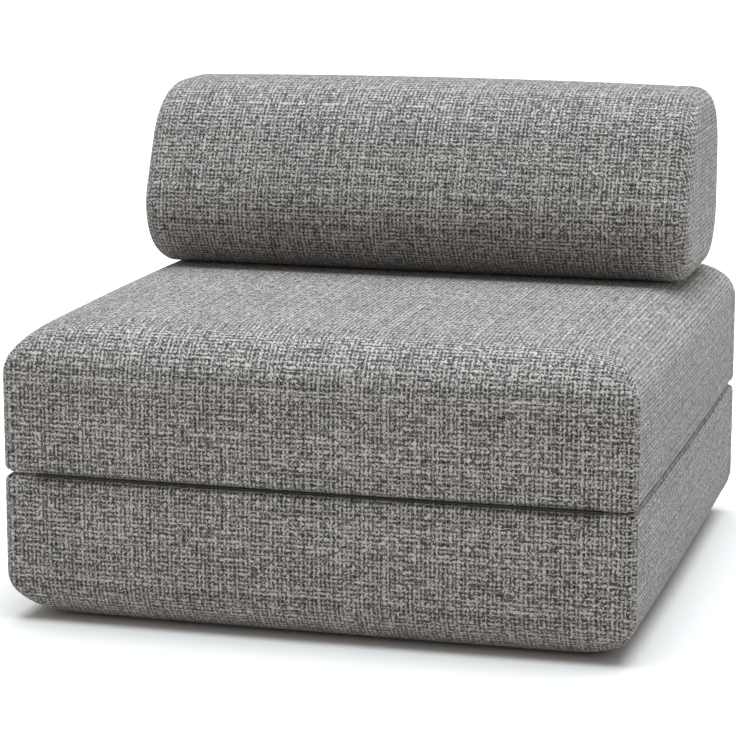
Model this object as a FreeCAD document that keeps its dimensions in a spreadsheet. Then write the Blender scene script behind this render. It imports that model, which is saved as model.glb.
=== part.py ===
import FreeCAD, Part
import math
import os
import Sketcher
from FreeCAD import Placement, Rotation, Vector

# Convertible chair bed: two slab cushions and a bolster that fold out into a guest bed.
# Frame: +X to the sitter's left, +Y to the rear, +Z up, in millimetres.
# The origin is on the floor, under the middle of the closed chair.

doc = FreeCAD.newDocument("chair_bed")

# Driving dimensions
driving = {
    # the two slabs
    "slab_width": 720,
    "slab_depth": 732,
    "lower_height": 170,
    "seat_height": 170,
    "layer_gap": 0.3,
    "lower_round": 56,
    "seat_round": 58,
    "seam_round": 10,
    "corner_radius": 8,
    "corner_swell": 1.0,
    "front_bow": 4,
    "side_bow": 3,
    "seat_crown": 2,
    # the bolster, a loaf with a flat foot
    "bolster_length": 682,
    "bolster_depth": 268,
    "bolster_height": 228,
    "bolster_inset": 55,
    "front_low_radius": 76,
    "rear_low_radius": 78,
    "front_top_radius": 104,
    "rear_top_radius": 80,
    "front_lean": 23,
    "end_round": 19,
    "end_squeeze": 3,
    # covers and cores
    "cover_wall": 2,
    "core_ease": 0.3,
    "seam_share": 0.3,
    "grip_sheet_wall": 1.2,
    "grip_sheet_border": 64,
    # fabric hinges
    "hinge_lead": 0.5,
    "fold_ease": 0.15,
    "strip_ease": 0.2,
    "strip_wall": 1,
    "front_strip_length": 640,
    "rear_strip_length": 620,
    "rear_strip_tuck": 14,
    "landing_gap": 10,
    # zips
    "zip_length": 600,
    "lower_zip_drop": 44,
    "seat_zip_rise": 44,
    "bolster_zip_rise": 112,
    "tape_reach": 12,
    "tape_wall": 0.8,
    "coil_width": 2.4,
    "coil_height": 1.6,
    "neck_slot": 1.2,
    "stop_length": 2.5,
    "slider_length": 13,
    "slider_wall": 1.2,
    "slider_ease": 0.3,
    "flange_wall": 1.2,
    "neck_wall": 0.6,
    "neck_length": 3.6,
    "pin_radius": 0.8,
    "post_length": 2.4,
    "puller_length": 25,
    "puller_width": 7,
    "puller_wall": 1.4,
    "puller_neck_width": 3.5,
    "puller_neck_length": 3.84,
    "tab_round": 2.1,
    "eye_wall": 0.9,
    "eye_ease": 0.15,
    "post_ease": 0.3,
    "channel_ease": 1,
}

# Flat bands that stand for the curves: cover, lining and foam share them, so they stay parallel
LARGE_ROUND_BANDS = 6
SEAM_ROUND_BANDS = 3
END_ROUND_BANDS = 4
BARREL_BANDS = 2
SLAB_CORNER_CHORDS = 5
LOAF_CORNER_CHORDS = 7
QUARTER = 90
FULL_TURN = 360

sheet = doc.addObject("Spreadsheet::Sheet", "Sizes")
for row, (alias, number) in enumerate(driving.items(), start=1):
    sheet.set(f"A{row}", alias)
    sheet.set(f"B{row}", str(number))
    sheet.setAlias(f"B{row}", alias)
doc.recompute()


class Size:
    """A length that carries the expression it is bound by and its present value."""

    def __init__(self, text, value):
        self.text = text
        self.value = value

    def joined(self, sign, other, value):
        return Size(f"({self.text} {sign} {as_size(other).text})", value)

    def __add__(self, other):
        return self.joined("+", other, self.value + as_size(other).value)

    def __sub__(self, other):
        return self.joined("-", other, self.value - as_size(other).value)

    def __mul__(self, other):
        return self.joined("*", other, self.value * as_size(other).value)

    def __truediv__(self, other):
        return self.joined("/", other, self.value / as_size(other).value)

    def __neg__(self):
        return Size(f"(0 - {self.text})", -self.value)


def as_size(number):
    return number if isinstance(number, Size) else Size(f"{number:.9g}", number)


def size_of(alias):
    return Size(f"Sizes.{alias}", driving[alias])


ZERO = as_size(0)

slab_width = size_of("slab_width")
slab_depth = size_of("slab_depth")
lower_height = size_of("lower_height")
seat_height = size_of("seat_height")
layer_gap = size_of("layer_gap")
seam_round = size_of("seam_round")
cover_wall = size_of("cover_wall")
core_ease = size_of("core_ease")
core_shrink = cover_wall + core_ease
grip_wall = size_of("grip_sheet_wall")
bolster_depth = size_of("bolster_depth")
bolster_height = size_of("bolster_height")
bolster_length = size_of("bolster_length")
strip_wall = size_of("strip_wall")
fold_ease = size_of("fold_ease")
hinge_lead = size_of("hinge_lead")
zip_length = size_of("zip_length")
tape_reach = size_of("tape_reach")
tape_wall = size_of("tape_wall")
coil_width = size_of("coil_width")
coil_height = size_of("coil_height")
slider_wall = size_of("slider_wall")
slider_ease = size_of("slider_ease")
pin_radius = size_of("pin_radius")
puller_wall = size_of("puller_wall")
eye_wall = size_of("eye_wall")
eye_ease = size_of("eye_ease")

# Zip heights, measured outwards from the cover's outer face
tape_top = tape_wall - cover_wall
coil_top = tape_top + coil_height
outer_wing = coil_top + slider_ease
outer_wing_top = outer_wing + slider_wall
eye_radius = pin_radius + eye_ease + eye_wall
pin_height = outer_wing_top + slider_ease + eye_radius
slider_stand = pin_height + pin_radius + slider_ease
slider_reach = size_of("neck_slot") / 2 + coil_width + slider_ease + size_of("flange_wall")
inner_wing_top = -cover_wall - slider_ease
inner_wing = inner_wing_top - slider_wall

# Where things lie in the closed chair
slab_middle = (hinge_lead - fold_ease - slider_stand) / 2
slab_front = slab_middle - slab_depth / 2
slab_rear = slab_middle + slab_depth / 2
seat_level = lower_height + layer_gap
bolster_middle = slab_rear - size_of("bolster_inset") - bolster_depth / 2
foot_front = bolster_middle - bolster_depth / 2 + size_of("front_low_radius") - slab_middle
crown_run = slab_depth / 2 - size_of("seat_round")
crown_radius = (crown_run * crown_run + size_of("seat_crown") * size_of("seat_crown")) / (
    size_of("seat_crown") * 2
)
crown_drop = foot_front * foot_front / (crown_radius * 2)
bolster_level = seat_level + seat_height - crown_drop + layer_gap
front_axis_y = slab_front - hinge_lead
front_axis_z = lower_height + layer_gap / 2
bolster_rear = bolster_middle + bolster_depth / 2
rear_axis_y = (bolster_rear + slab_rear + size_of("landing_gap")) / 2
rear_axis_z = bolster_level

nodes = []


def bind(thing, **expressions):
    for name, size in expressions.items():
        thing.setExpression(name, size.text)


def place(thing, x=ZERO, y=ZERO, z=ZERO, turn=Rotation()):
    """Puts a thing at x, y, z and ties each of them to its expression."""
    thing.Placement = Placement(Vector(x.value, y.value, z.value), turn)
    for letter, size in (("x", x), ("y", y), ("z", z)):
        thing.setExpression(f".Placement.Base.{letter}", size.text)


def node(thing, label):
    thing.Label = label
    nodes.append(thing)
    return thing


def box(name, x, y, z, length, width, height):
    """A block with its lowest corner at x, y, z."""
    block = doc.addObject("Part::Box", name)
    bind(block, Length=length, Width=width, Height=height)
    place(block, x, y, z)
    return block


def combine(kind, name, base, tool):
    result = doc.addObject(kind, name)
    result.Base = base
    result.Tool = tool
    return result


def group(name, things):
    result = doc.addObject("Part::Compound", name)
    result.Links = things
    return result


def sketch_on(body, name, plane, offset):
    """An empty sketch parallel to one of the body's origin planes."""
    sketch = body.newObject("Sketcher::SketchObject", name)
    support = [feature for feature in body.Origin.OriginFeatures if feature.Role == plane]
    sketch.AttachmentSupport = [(support[0], "")]
    sketch.MapMode = "FlatFace"
    sketch.AttachmentOffset = Placement(Vector(0, 0, offset.value), Rotation())
    sketch.setExpression("AttachmentOffset.Base.z", offset.text)
    return sketch


def dimension(sketch, name, size, kind, *references):
    index = sketch.addConstraint(Sketcher.Constraint(kind, *references, size.value))
    sketch.renameConstraint(index, name)
    sketch.setExpression(f"Constraints.{name}", size.text)


def arc(centre, radius, start, end):
    """An arc from one angle to another, in degrees, counterclockwise."""
    circle = Part.Circle(Vector(centre[0], centre[1], 0), Vector(0, 0, 1), radius)
    return Part.ArcOfCircle(circle, math.radians(start), math.radians(end))


def line(start, end):
    return Part.LineSegment(Vector(start[0], start[1], 0), Vector(end[0], end[1], 0))


def bearing(start, end):
    return math.degrees(math.atan2(end[1] - start[1], end[0] - start[0]))


def bow_radius(run, bow):
    """The radius of a side that swells by bow over half its length, run."""
    return (run * run + bow * bow) / (bow * 2)


front_arc_radius = bow_radius(slab_width / 2, size_of("front_bow"))
side_arc_radius = bow_radius(slab_depth / 2, size_of("side_bow"))
ORIGIN = (-1, 1)
H_AXIS = -1
V_AXIS = -2
START = 1
END = 2
CENTRE = 3


def chord_chain(sketch, curve, chords, centre, radius, start, end):
    """Equal chords on a construction arc, from its start to its end."""
    points = []
    for step in range(chords + 1):
        angle = math.radians(start + (end - start) * step / chords)
        points.append(
            (centre[0] + radius * math.cos(angle), centre[1] + radius * math.sin(angle))
        )
    chain = sketch.addGeometry([line(*ends) for ends in zip(points, points[1:])], False)
    sketch.addConstraint(
        [
            Sketcher.Constraint("Coincident", chain[0], START, curve, START),
            Sketcher.Constraint("Coincident", chain[-1], END, curve, END),
        ]
        + [
            Sketcher.Constraint("Coincident", one, END, other, START)
            for one, other in zip(chain, chain[1:])
        ]
        + [Sketcher.Constraint("PointOnObject", one, END, curve) for one in chain[:-1]]
        + [Sketcher.Constraint("Equal", chain[0], other) for other in chain[1:]]
    )


def slab_outline(body, name, height, inset, corner):
    """A slab's plan, seen from above: bowed front and sides, straight rear, round corners."""
    front_radius = front_arc_radius - inset
    side_radius = side_arc_radius - inset
    front_centre = front_arc_radius - slab_depth / 2
    side_centre = side_arc_radius - slab_width / 2
    rear_line = slab_depth / 2 - inset

    # starting geometry: each corner circle lies inside the two sides that it touches
    front_point = (0, front_centre.value)
    right_point = (-side_centre.value, 0)
    left_point = (side_centre.value, 0)
    reach_front = front_radius.value - corner.value
    reach_side = side_radius.value - corner.value
    gap = math.hypot(front_point[1], right_point[0])
    along = (reach_front**2 - reach_side**2 + gap**2) / (2 * gap)
    across = math.sqrt(reach_front**2 - along**2)
    toward = (right_point[0] / gap, -front_point[1] / gap)
    front_right = (
        toward[0] * along - toward[1] * across,
        front_point[1] + toward[1] * along + toward[0] * across,
    )
    if front_right[0] < 0:
        front_right = (
            toward[0] * along + toward[1] * across,
            front_point[1] + toward[1] * along - toward[0] * across,
        )
    rear_y = rear_line.value - corner.value
    rear_right = (right_point[0] + math.sqrt(reach_side**2 - rear_y**2), rear_y)
    low = bearing(front_point, front_right)
    side_low = bearing(right_point, front_right)
    side_high = bearing(right_point, rear_right)

    sketch = sketch_on(body, name, "XY_Plane", height)
    front, right, rear, left = sketch.addGeometry(
        [
            arc(front_point, front_radius.value, -180 - low, low),
            arc(right_point, side_radius.value, side_low, side_high),
            line((rear_right[0], rear_line.value), (-rear_right[0], rear_line.value)),
            arc(left_point, side_radius.value, 180 - side_high, 180 - side_low),
        ],
        False,
    )
    corners = [
        (front_right, low, side_low),
        (rear_right, side_high, 90),
        ((-rear_right[0], rear_y), 90, 180 - side_high),
        ((-front_right[0], front_right[1]), 180 - side_low, 180 - low),
    ]
    corner_a, corner_b, corner_c, corner_d = sketch.addGeometry(
        [arc(centre, corner.value, start, end) for centre, start, end in corners], True
    )
    ring = [front, corner_a, right, corner_b, rear, corner_c, left, corner_d]
    joins = [
        Sketcher.Constraint("Tangent", one, END, other, START)
        for one, other in zip(ring, ring[1:] + ring[:1])
    ]
    sketch.addConstraint(
        joins
        + [
            Sketcher.Constraint("PointOnObject", front, CENTRE, V_AXIS),
            Sketcher.Constraint("PointOnObject", right, CENTRE, H_AXIS),
            Sketcher.Constraint("Symmetric", right, CENTRE, left, CENTRE, V_AXIS),
            Sketcher.Constraint("Horizontal", rear),
            Sketcher.Constraint("Equal", right, left),
            Sketcher.Constraint("Equal", corner_a, corner_b),
            Sketcher.Constraint("Equal", corner_b, corner_c),
            Sketcher.Constraint("Equal", corner_c, corner_d),
        ]
    )
    dimension(sketch, "front_centre", front_centre, "DistanceY", *ORIGIN, front, CENTRE)
    dimension(sketch, "side_centre", side_centre, "DistanceX", right, CENTRE, *ORIGIN)
    dimension(sketch, "rear_line", rear_line, "DistanceY", *ORIGIN, rear, START)
    dimension(sketch, "front_radius", front_radius, "Radius", front)
    dimension(sketch, "side_radius", side_radius, "Radius", right)
    dimension(sketch, "corner_radius", corner, "Radius", corner_a)
    for curve, (centre, start, end) in zip((corner_a, corner_b, corner_c, corner_d), corners):
        chord_chain(sketch, curve, SLAB_CORNER_CHORDS, centre, corner.value, start, end)
    return sketch


def loft(body, name, sections):
    """Joins the sections in order by straight bands."""
    feature = body.newObject("PartDesign::AdditiveLoft", name)
    feature.Profile = sections[0]
    feature.Sections = sections[1:]
    feature.Ruled = True


def quarter_round(radius, bands):
    """Depth below the flat face and setback from the side at each edge, from the flat face on."""
    points = []
    for step in range(bands + 1):
        angle = math.radians(QUARTER * step / bands)
        points.append((radius * (1 - math.cos(angle)), radius * (1 - math.sin(angle))))
    return points


def slab_form(name, height, low_round, high_round, shrink, crown=None):
    """One slab standing on z = 0: rounded foot, upright wall, rounded shoulder, and a crown."""
    body = doc.addObject("PartDesign::Body", name)
    low = low_round - shrink
    high = high_round - shrink
    foot = shrink
    head = height - shrink
    base_corner = size_of("corner_radius") - shrink

    def outline(label, level, setback):
        corner = base_corner + size_of("corner_swell") * setback
        return slab_outline(body, f"{name}_{label}", level, shrink + setback, corner)

    low_bands = SEAM_ROUND_BANDS if low_round is seam_round else LARGE_ROUND_BANDS
    high_bands = SEAM_ROUND_BANDS if high_round is seam_round else LARGE_ROUND_BANDS
    foot_sections = [
        outline(f"foot_{index}", foot + depth, setback)
        for index, (depth, setback) in enumerate(quarter_round(low, low_bands))
    ]
    loft(body, f"{name}_foot", foot_sections)

    wall = body.newObject("PartDesign::Pad", f"{name}_wall")
    wall.Profile = outline("wall_line", foot + low, ZERO)
    bind(wall, Length=head - high - foot - low)

    head_sections = [
        outline(f"head_{index}", head - depth, setback)
        for index, (depth, setback) in enumerate(quarter_round(high, high_bands))
    ]
    loft(body, f"{name}_head", list(reversed(head_sections)))
    if crown is not None:
        crown_cut(body, name, head, crown, shrink)
    return body


def crown_cut(body, name, head, crown, shrink):
    """Lowers the flat top from its middle towards the front and the rear in one long arc."""
    radius = crown_radius - shrink
    reach = slab_depth / 2
    sketch = sketch_on(body, f"{name}_crown_line", "YZ_Plane", ZERO)
    centre = head - radius
    half = math.degrees(math.asin(reach.value / radius.value))
    side_y = centre.value + radius.value * math.cos(math.radians(half))
    lid = head + crown
    sketch.addGeometry(
        [
            arc((0, centre.value), radius.value, 90 - half, 90 + half),
            line((-reach.value, side_y), (-reach.value, lid.value)),
            line((-reach.value, lid.value), (reach.value, lid.value)),
            line((reach.value, lid.value), (reach.value, side_y)),
        ],
        False,
    )
    dome, left, top, right = range(4)
    sketch.addConstraint(
        [
            Sketcher.Constraint("Coincident", dome, END, left, START),
            Sketcher.Constraint("Coincident", left, END, top, START),
            Sketcher.Constraint("Coincident", top, END, right, START),
            Sketcher.Constraint("Coincident", right, END, dome, START),
            Sketcher.Constraint("Vertical", left),
            Sketcher.Constraint("Vertical", right),
            Sketcher.Constraint("PointOnObject", dome, CENTRE, V_AXIS),
            Sketcher.Constraint("Symmetric", top, START, top, END, V_AXIS),
        ]
    )
    dimension(sketch, "reach", reach * 2, "DistanceX", top, START, top, END)
    dimension(sketch, "lid", lid, "DistanceY", *ORIGIN, top, START)
    dimension(sketch, "dome_radius", radius, "Radius", dome)
    dimension(sketch, "dome_centre", -centre, "DistanceY", dome, CENTRE, *ORIGIN)
    cut = body.newObject("PartDesign::Pocket", f"{name}_crown")
    cut.Profile = sketch
    cut.Midplane = True
    bind(cut, Length=slab_width)


def loaf_outline(body, name, station, shrink, squeeze):
    """The bolster's section, seen from the left: four rounded corners, flat foot and rear."""
    front = squeeze - bolster_depth / 2
    rear = bolster_depth / 2
    top = bolster_height - squeeze
    front_low = size_of("front_low_radius")
    rear_low = size_of("rear_low_radius")
    front_top = size_of("front_top_radius")
    rear_top = size_of("rear_top_radius")
    corners = [
        (front + front_low, front_low, front_low - shrink),
        (rear - rear_low, rear_low, rear_low - shrink),
        (rear - rear_top, top - rear_top, rear_top - shrink),
        (front + size_of("front_lean") + front_top, top - front_top, front_top - shrink),
    ]
    normals = []
    for one, other in zip(corners, corners[1:] + corners[:1]):
        run = (other[0].value - one[0].value, other[1].value - one[1].value)
        turn = math.acos((one[2].value - other[2].value) / math.hypot(*run))
        normals.append(math.degrees(math.atan2(run[1], run[0]) - turn))

    sketch = sketch_on(body, name, "YZ_Plane", station)
    spans = []
    for index, (across, up, radius) in enumerate(corners):
        centre = (across.value, up.value)
        before = normals[index - 1]
        after = normals[index]
        while after < before:
            after += FULL_TURN
        spans.append((centre, radius.value, before, after))
        sketch.addGeometry(arc(centre, radius.value, before, after), True)
        following = corners[(index + 1) % len(corners)]
        aim = Vector(math.cos(math.radians(after)), math.sin(math.radians(after)), 0)
        leave = Vector(*centre, 0) + aim * radius.value
        meet = Vector(following[0].value, following[1].value, 0) + aim * following[2].value
        sketch.addGeometry(Part.LineSegment(leave, meet), False)
    ring = list(range(2 * len(corners)))
    sketch.addConstraint(
        [
            Sketcher.Constraint("Tangent", one, END, other, START)
            for one, other in zip(ring, ring[1:] + ring[:1])
        ]
    )
    for index, (across, up, radius) in enumerate(corners):
        corner = 2 * index
        dimension(sketch, f"radius_{index}", radius, "Radius", corner)
        dimension(sketch, f"up_{index}", up, "DistanceY", *ORIGIN, corner, CENTRE)
        if across.value < 0:
            dimension(sketch, f"across_{index}", -across, "DistanceX", corner, CENTRE, *ORIGIN)
        else:
            dimension(sketch, f"across_{index}", across, "DistanceX", *ORIGIN, corner, CENTRE)
        chord_chain(sketch, corner, LOAF_CORNER_CHORDS, *spans[index])
    return sketch


def loaf_form(name, shrink):
    """The bolster standing on z = 0, fullest in the middle, with rounded end edges."""
    body = doc.addObject("PartDesign::Body", name)
    half = bolster_length / 2 - shrink
    radius = size_of("end_round") - shrink
    squeeze = size_of("end_squeeze")

    def end_sections(side):
        """Outlines from the flat end inwards to where the barrel starts."""
        outlines = []
        for index, (depth, setback) in enumerate(quarter_round(radius, END_ROUND_BANDS)):
            station = half - depth if side == "left" else depth - half
            label = f"{name}_{side}_{index}"
            outlines.append(loaf_outline(body, label, station, shrink + setback, squeeze))
        return outlines

    loft(body, f"{name}_right_rounding", end_sections("right"))
    barrel = []
    for step in range(-BARREL_BANDS, BARREL_BANDS + 1):
        share = step / BARREL_BANDS
        station = (half - radius) * share
        label = f"{name}_barrel_{step + BARREL_BANDS}"
        barrel.append(loaf_outline(body, label, station, shrink, squeeze * share**2))
    loft(body, f"{name}_barrel", barrel)
    loft(body, f"{name}_left_rounding", list(reversed(end_sections("left"))))
    return body


def zip_slot(prefix, rear, height):
    """The opening in a rear wall that the two zip tapes fill."""
    return box(
        f"{prefix}_zip_slot",
        -zip_length / 2,
        rear - cover_wall - core_ease / 2,
        height - tape_reach,
        zip_length,
        cover_wall * 2,
        tape_reach * 2,
    )


def zip_channel(prefix, rear, height):
    """The channel in the foam behind a zip, where the slider's inner wing runs."""
    deep = -inner_wing + size_of("channel_ease")
    reach = slider_reach + size_of("channel_ease")
    return box(
        f"{prefix}_zip_channel",
        -zip_length / 2,
        rear - deep,
        height - reach,
        zip_length,
        deep,
        reach * 2,
    )


def slab_cushion(prefix, form_height, low_round, high_round, level, zip_height, seam_low, crown):
    """Foam core, wrapped cover shell and flat seamed panel of one slab, placed at its level."""

    def form(label, shrink):
        name = f"{prefix}_{label}"
        return slab_form(name, form_height, low_round, high_round, shrink, crown)

    outer = form("outside", ZERO)
    inner = form("inside", cover_wall)
    foam = form("foam", core_shrink)
    rear = slab_depth / 2

    skin = combine("Part::Cut", f"{prefix}_skin", outer, inner)
    seam = seam_round * size_of("seam_share")
    slice_z = -seam_round if seam_low else form_height - seam
    slice_height = seam_round + seam
    slice_box = box(
        f"{prefix}_panel_slice",
        -slab_width,
        -slab_depth,
        slice_z,
        slab_width * 2,
        slab_depth * 2,
        slice_height,
    )
    panel = combine("Part::Common", f"{prefix}_panel", skin, slice_box)
    wrap = combine("Part::Cut", f"{prefix}_wrap", skin, slice_box)
    shell = combine("Part::Cut", f"{prefix}_shell", wrap, zip_slot(prefix, rear, zip_height))
    core = combine("Part::Cut", f"{prefix}_core", foam, zip_channel(prefix, rear, zip_height))
    for thing in (panel, shell, core):
        place(thing, y=slab_middle, z=level)
    node(core, f"{prefix}_foam_core")
    node(shell, f"{prefix}_cover_shell")
    return panel


def zip_parts(prefix, rear, height):
    """One zip on a rear wall: tapes, coil rows and stops, with its slider and puller."""
    upright = Rotation(Vector(-1, 0, 0), 90)

    def seat(thing, label):
        place(thing, y=rear, z=height, turn=upright)
        return node(thing, f"{prefix}_{label}")

    half = zip_length / 2
    slot = size_of("neck_slot") / 2
    tape_width = tape_reach - slot
    tapes = [
        box(f"{prefix}_tape_{side}", -half, y, -cover_wall, zip_length, tape_width, tape_wall)
        for side, y in (("low", slot), ("high", -tape_reach))
    ]
    seat(group(f"{prefix}_tapes", tapes), "zip_tapes")

    stop_length = size_of("stop_length")
    coil_length = zip_length - stop_length * 2
    rows = [
        coil_row(f"{prefix}_coil_{side}", y, coil_length)
        for side, y in (("low", slot + coil_width / 2), ("high", -slot - coil_width / 2))
    ]
    seat(group(f"{prefix}_coils", rows), "zip_coil")

    stop_reach = slot + coil_width
    stops = [
        box(
            f"{prefix}_stop_{side}",
            x,
            -stop_reach,
            tape_top,
            stop_length,
            stop_reach * 2,
            coil_height,
        )
        for side, x in (("right", -half), ("left", half - stop_length))
    ]
    seat(group(f"{prefix}_stops", stops), "zip_stops")

    slider_x = half - stop_length - slider_ease - size_of("slider_length") / 2
    slider = slider_body(f"{prefix}_slider")
    place(slider, x=slider_x, y=rear, z=height, turn=upright)
    node(slider, f"{prefix}_zip_slider")
    puller = puller_body(f"{prefix}_puller")
    place(puller, x=slider_x, y=rear + pin_height, z=height, turn=upright)
    node(puller, f"{prefix}_zip_puller")


def coil_row(name, across, length):
    """One coil row: a strip with a round back, along x."""
    body = doc.addObject("PartDesign::Body", name)
    radius = coil_width / 2
    sketch = sketch_on(body, f"{name}_section", "YZ_Plane", ZERO)
    shoulder = coil_height - radius
    sketch.addGeometry(
        [
            line((-radius.value, 0), (radius.value, 0)),
            line((radius.value, 0), (radius.value, shoulder.value)),
            arc((0, shoulder.value), radius.value, 0, 180),
            line((-radius.value, shoulder.value), (-radius.value, 0)),
        ],
        False,
    )
    foot, near, back, far = range(4)
    sketch.addConstraint(
        [
            Sketcher.Constraint("Coincident", foot, END, near, START),
            Sketcher.Constraint("Tangent", near, END, back, START),
            Sketcher.Constraint("Tangent", back, END, far, START),
            Sketcher.Constraint("Coincident", far, END, foot, START),
            Sketcher.Constraint("Symmetric", foot, START, foot, END, *ORIGIN),
            Sketcher.Constraint("Horizontal", foot),
            Sketcher.Constraint("Vertical", near),
        ]
    )
    dimension(sketch, "radius", radius, "Radius", back)
    dimension(sketch, "shoulder", shoulder, "DistanceY", near, START, near, END)
    pad = body.newObject("PartDesign::Pad", f"{name}_pad")
    pad.Profile = sketch
    pad.Midplane = True
    bind(pad, Length=length)
    place(body, y=across, z=tape_top)
    return body


def rectangle(body, name, offset, left, right, low, high):
    """A sketch of one rectangle, parallel to the XY plane; all four sides are away from 0."""
    sketch = sketch_on(body, name, "XY_Plane", offset)
    corners = [(left, low), (right, low), (right, high), (left, high)]
    for one, other in zip(corners, corners[1:] + corners[:1]):
        start = (one[0].value, one[1].value)
        end = (other[0].value, other[1].value)
        sketch.addGeometry(line(start, end), False)
    ring = list(range(4))
    sketch.addConstraint(
        [
            Sketcher.Constraint("Coincident", one, END, other, START)
            for one, other in zip(ring, ring[1:] + ring[:1])
        ]
        + [Sketcher.Constraint("Horizontal", side) for side in (0, 2)]
        + [Sketcher.Constraint("Vertical", side) for side in (1, 3)]
    )
    for label, size, kind, place_of in (
        ("left", left, "DistanceX", (3, START)),
        ("right", right, "DistanceX", (1, START)),
        ("low", low, "DistanceY", (0, START)),
        ("high", high, "DistanceY", (2, START)),
    ):
        if size.value < 0:
            dimension(sketch, label, -size, kind, *place_of, *ORIGIN)
        else:
            dimension(sketch, label, size, kind, *ORIGIN, *place_of)
    return sketch


def pad_block(body, name, bottom, top, left, right, low, high):
    """A rectangular pad from bottom to top."""
    pad = body.newObject("PartDesign::Pad", name)
    pad.Profile = rectangle(body, f"{name}_line", bottom, left, right, low, high)
    bind(pad, Length=top - bottom)
    return pad


def slider_body(name):
    """The slider: outer wing with side flanges, neck between the rows, inner wing, pin posts."""
    body = doc.addObject("PartDesign::Body", name)
    half = size_of("slider_length") / 2
    post_half = size_of("post_length") / 2
    neck_half = size_of("neck_wall") / 2
    flange_inside = slider_reach - size_of("flange_wall")
    post_inside = size_of("puller_neck_width") / 2 + size_of("post_ease")
    flange_foot = tape_top + slider_ease

    pad_block(
        body, f"{name}_outer_wing", outer_wing, outer_wing_top, -half, half, -slider_reach, slider_reach
    )
    for side, low, high in (
        ("high", -slider_reach, -flange_inside),
        ("low", flange_inside, slider_reach),
    ):
        pad_block(body, f"{name}_flange_{side}", flange_foot, outer_wing, -half, half, low, high)
    neck_end = half - size_of("neck_length")
    pad_block(
        body, f"{name}_neck", inner_wing_top, outer_wing, neck_end, half, -neck_half, neck_half
    )
    pad_block(
        body, f"{name}_inner_wing", inner_wing, inner_wing_top, -half, half, -slider_reach, slider_reach
    )
    for side, low, high in (
        ("high", -post_inside - size_of("flange_wall"), -post_inside),
        ("low", post_inside, post_inside + size_of("flange_wall")),
    ):
        pad_block(
            body, f"{name}_post_{side}", outer_wing_top, slider_stand, -post_half, post_half, low, high
        )
    pin_sketch = sketch_on(body, f"{name}_pin_line", "XZ_Plane", ZERO)
    pin_sketch.addGeometry(
        Part.Circle(Vector(0, pin_height.value, 0), Vector(0, 0, 1), pin_radius.value), False
    )
    pin_sketch.addConstraint(Sketcher.Constraint("PointOnObject", 0, CENTRE, V_AXIS))
    dimension(pin_sketch, "pin_height", pin_height, "DistanceY", *ORIGIN, 0, CENTRE)
    dimension(pin_sketch, "pin_radius", pin_radius, "Radius", 0)
    pin = body.newObject("PartDesign::Pad", f"{name}_pin")
    pin.Profile = pin_sketch
    pin.Midplane = True
    bind(pin, Length=post_inside * 2 + size_of("flange_wall"))
    return body


def puller_body(name):
    """The puller: an eye round the slider's pin, a narrow neck and a broad tab, along -x."""
    body = doc.addObject("PartDesign::Body", name)
    half_wall = puller_wall / 2
    eye_half = size_of("puller_neck_width") / 2
    tab_half = size_of("puller_width") / 2
    tab_start = size_of("puller_neck_length")
    length = size_of("puller_length")
    pad_block(
        body, f"{name}_neck", -half_wall, half_wall, -tab_start, -pin_radius, -eye_half, eye_half
    )
    tab = pad_block(
        body, f"{name}_tab", -half_wall, half_wall, -length, -tab_start, -tab_half, tab_half
    )
    doc.recompute()
    far_corners = [
        f"Edge{index}"
        for index, edge in enumerate(tab.Shape.Edges, start=1)
        if edge.BoundBox.ZLength > half_wall.value
        and abs(edge.BoundBox.Center.x + length.value) < half_wall.value
    ]
    rounding = body.newObject("PartDesign::Fillet", f"{name}_tab_rounding")
    rounding.Base = (tab, far_corners)
    bind(rounding, Radius=size_of("tab_round"))

    def disc(label, radius):
        sketch = sketch_on(body, f"{name}_{label}_line", "XZ_Plane", ZERO)
        sketch.addGeometry(Part.Circle(Vector(), Vector(0, 0, 1), radius.value), False)
        sketch.addConstraint(Sketcher.Constraint("Coincident", 0, CENTRE, *ORIGIN))
        dimension(sketch, "radius", radius, "Radius", 0)
        return sketch

    eye = body.newObject("PartDesign::Pad", f"{name}_eye")
    eye.Profile = disc("eye", eye_radius)
    eye.Midplane = True
    bind(eye, Length=eye_half * 2)
    bore = body.newObject("PartDesign::Pocket", f"{name}_bore")
    bore.Profile = disc("bore", pin_radius + eye_ease)
    bore.Midplane = True
    bind(bore, Length=tab_half * 2)
    return body


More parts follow.
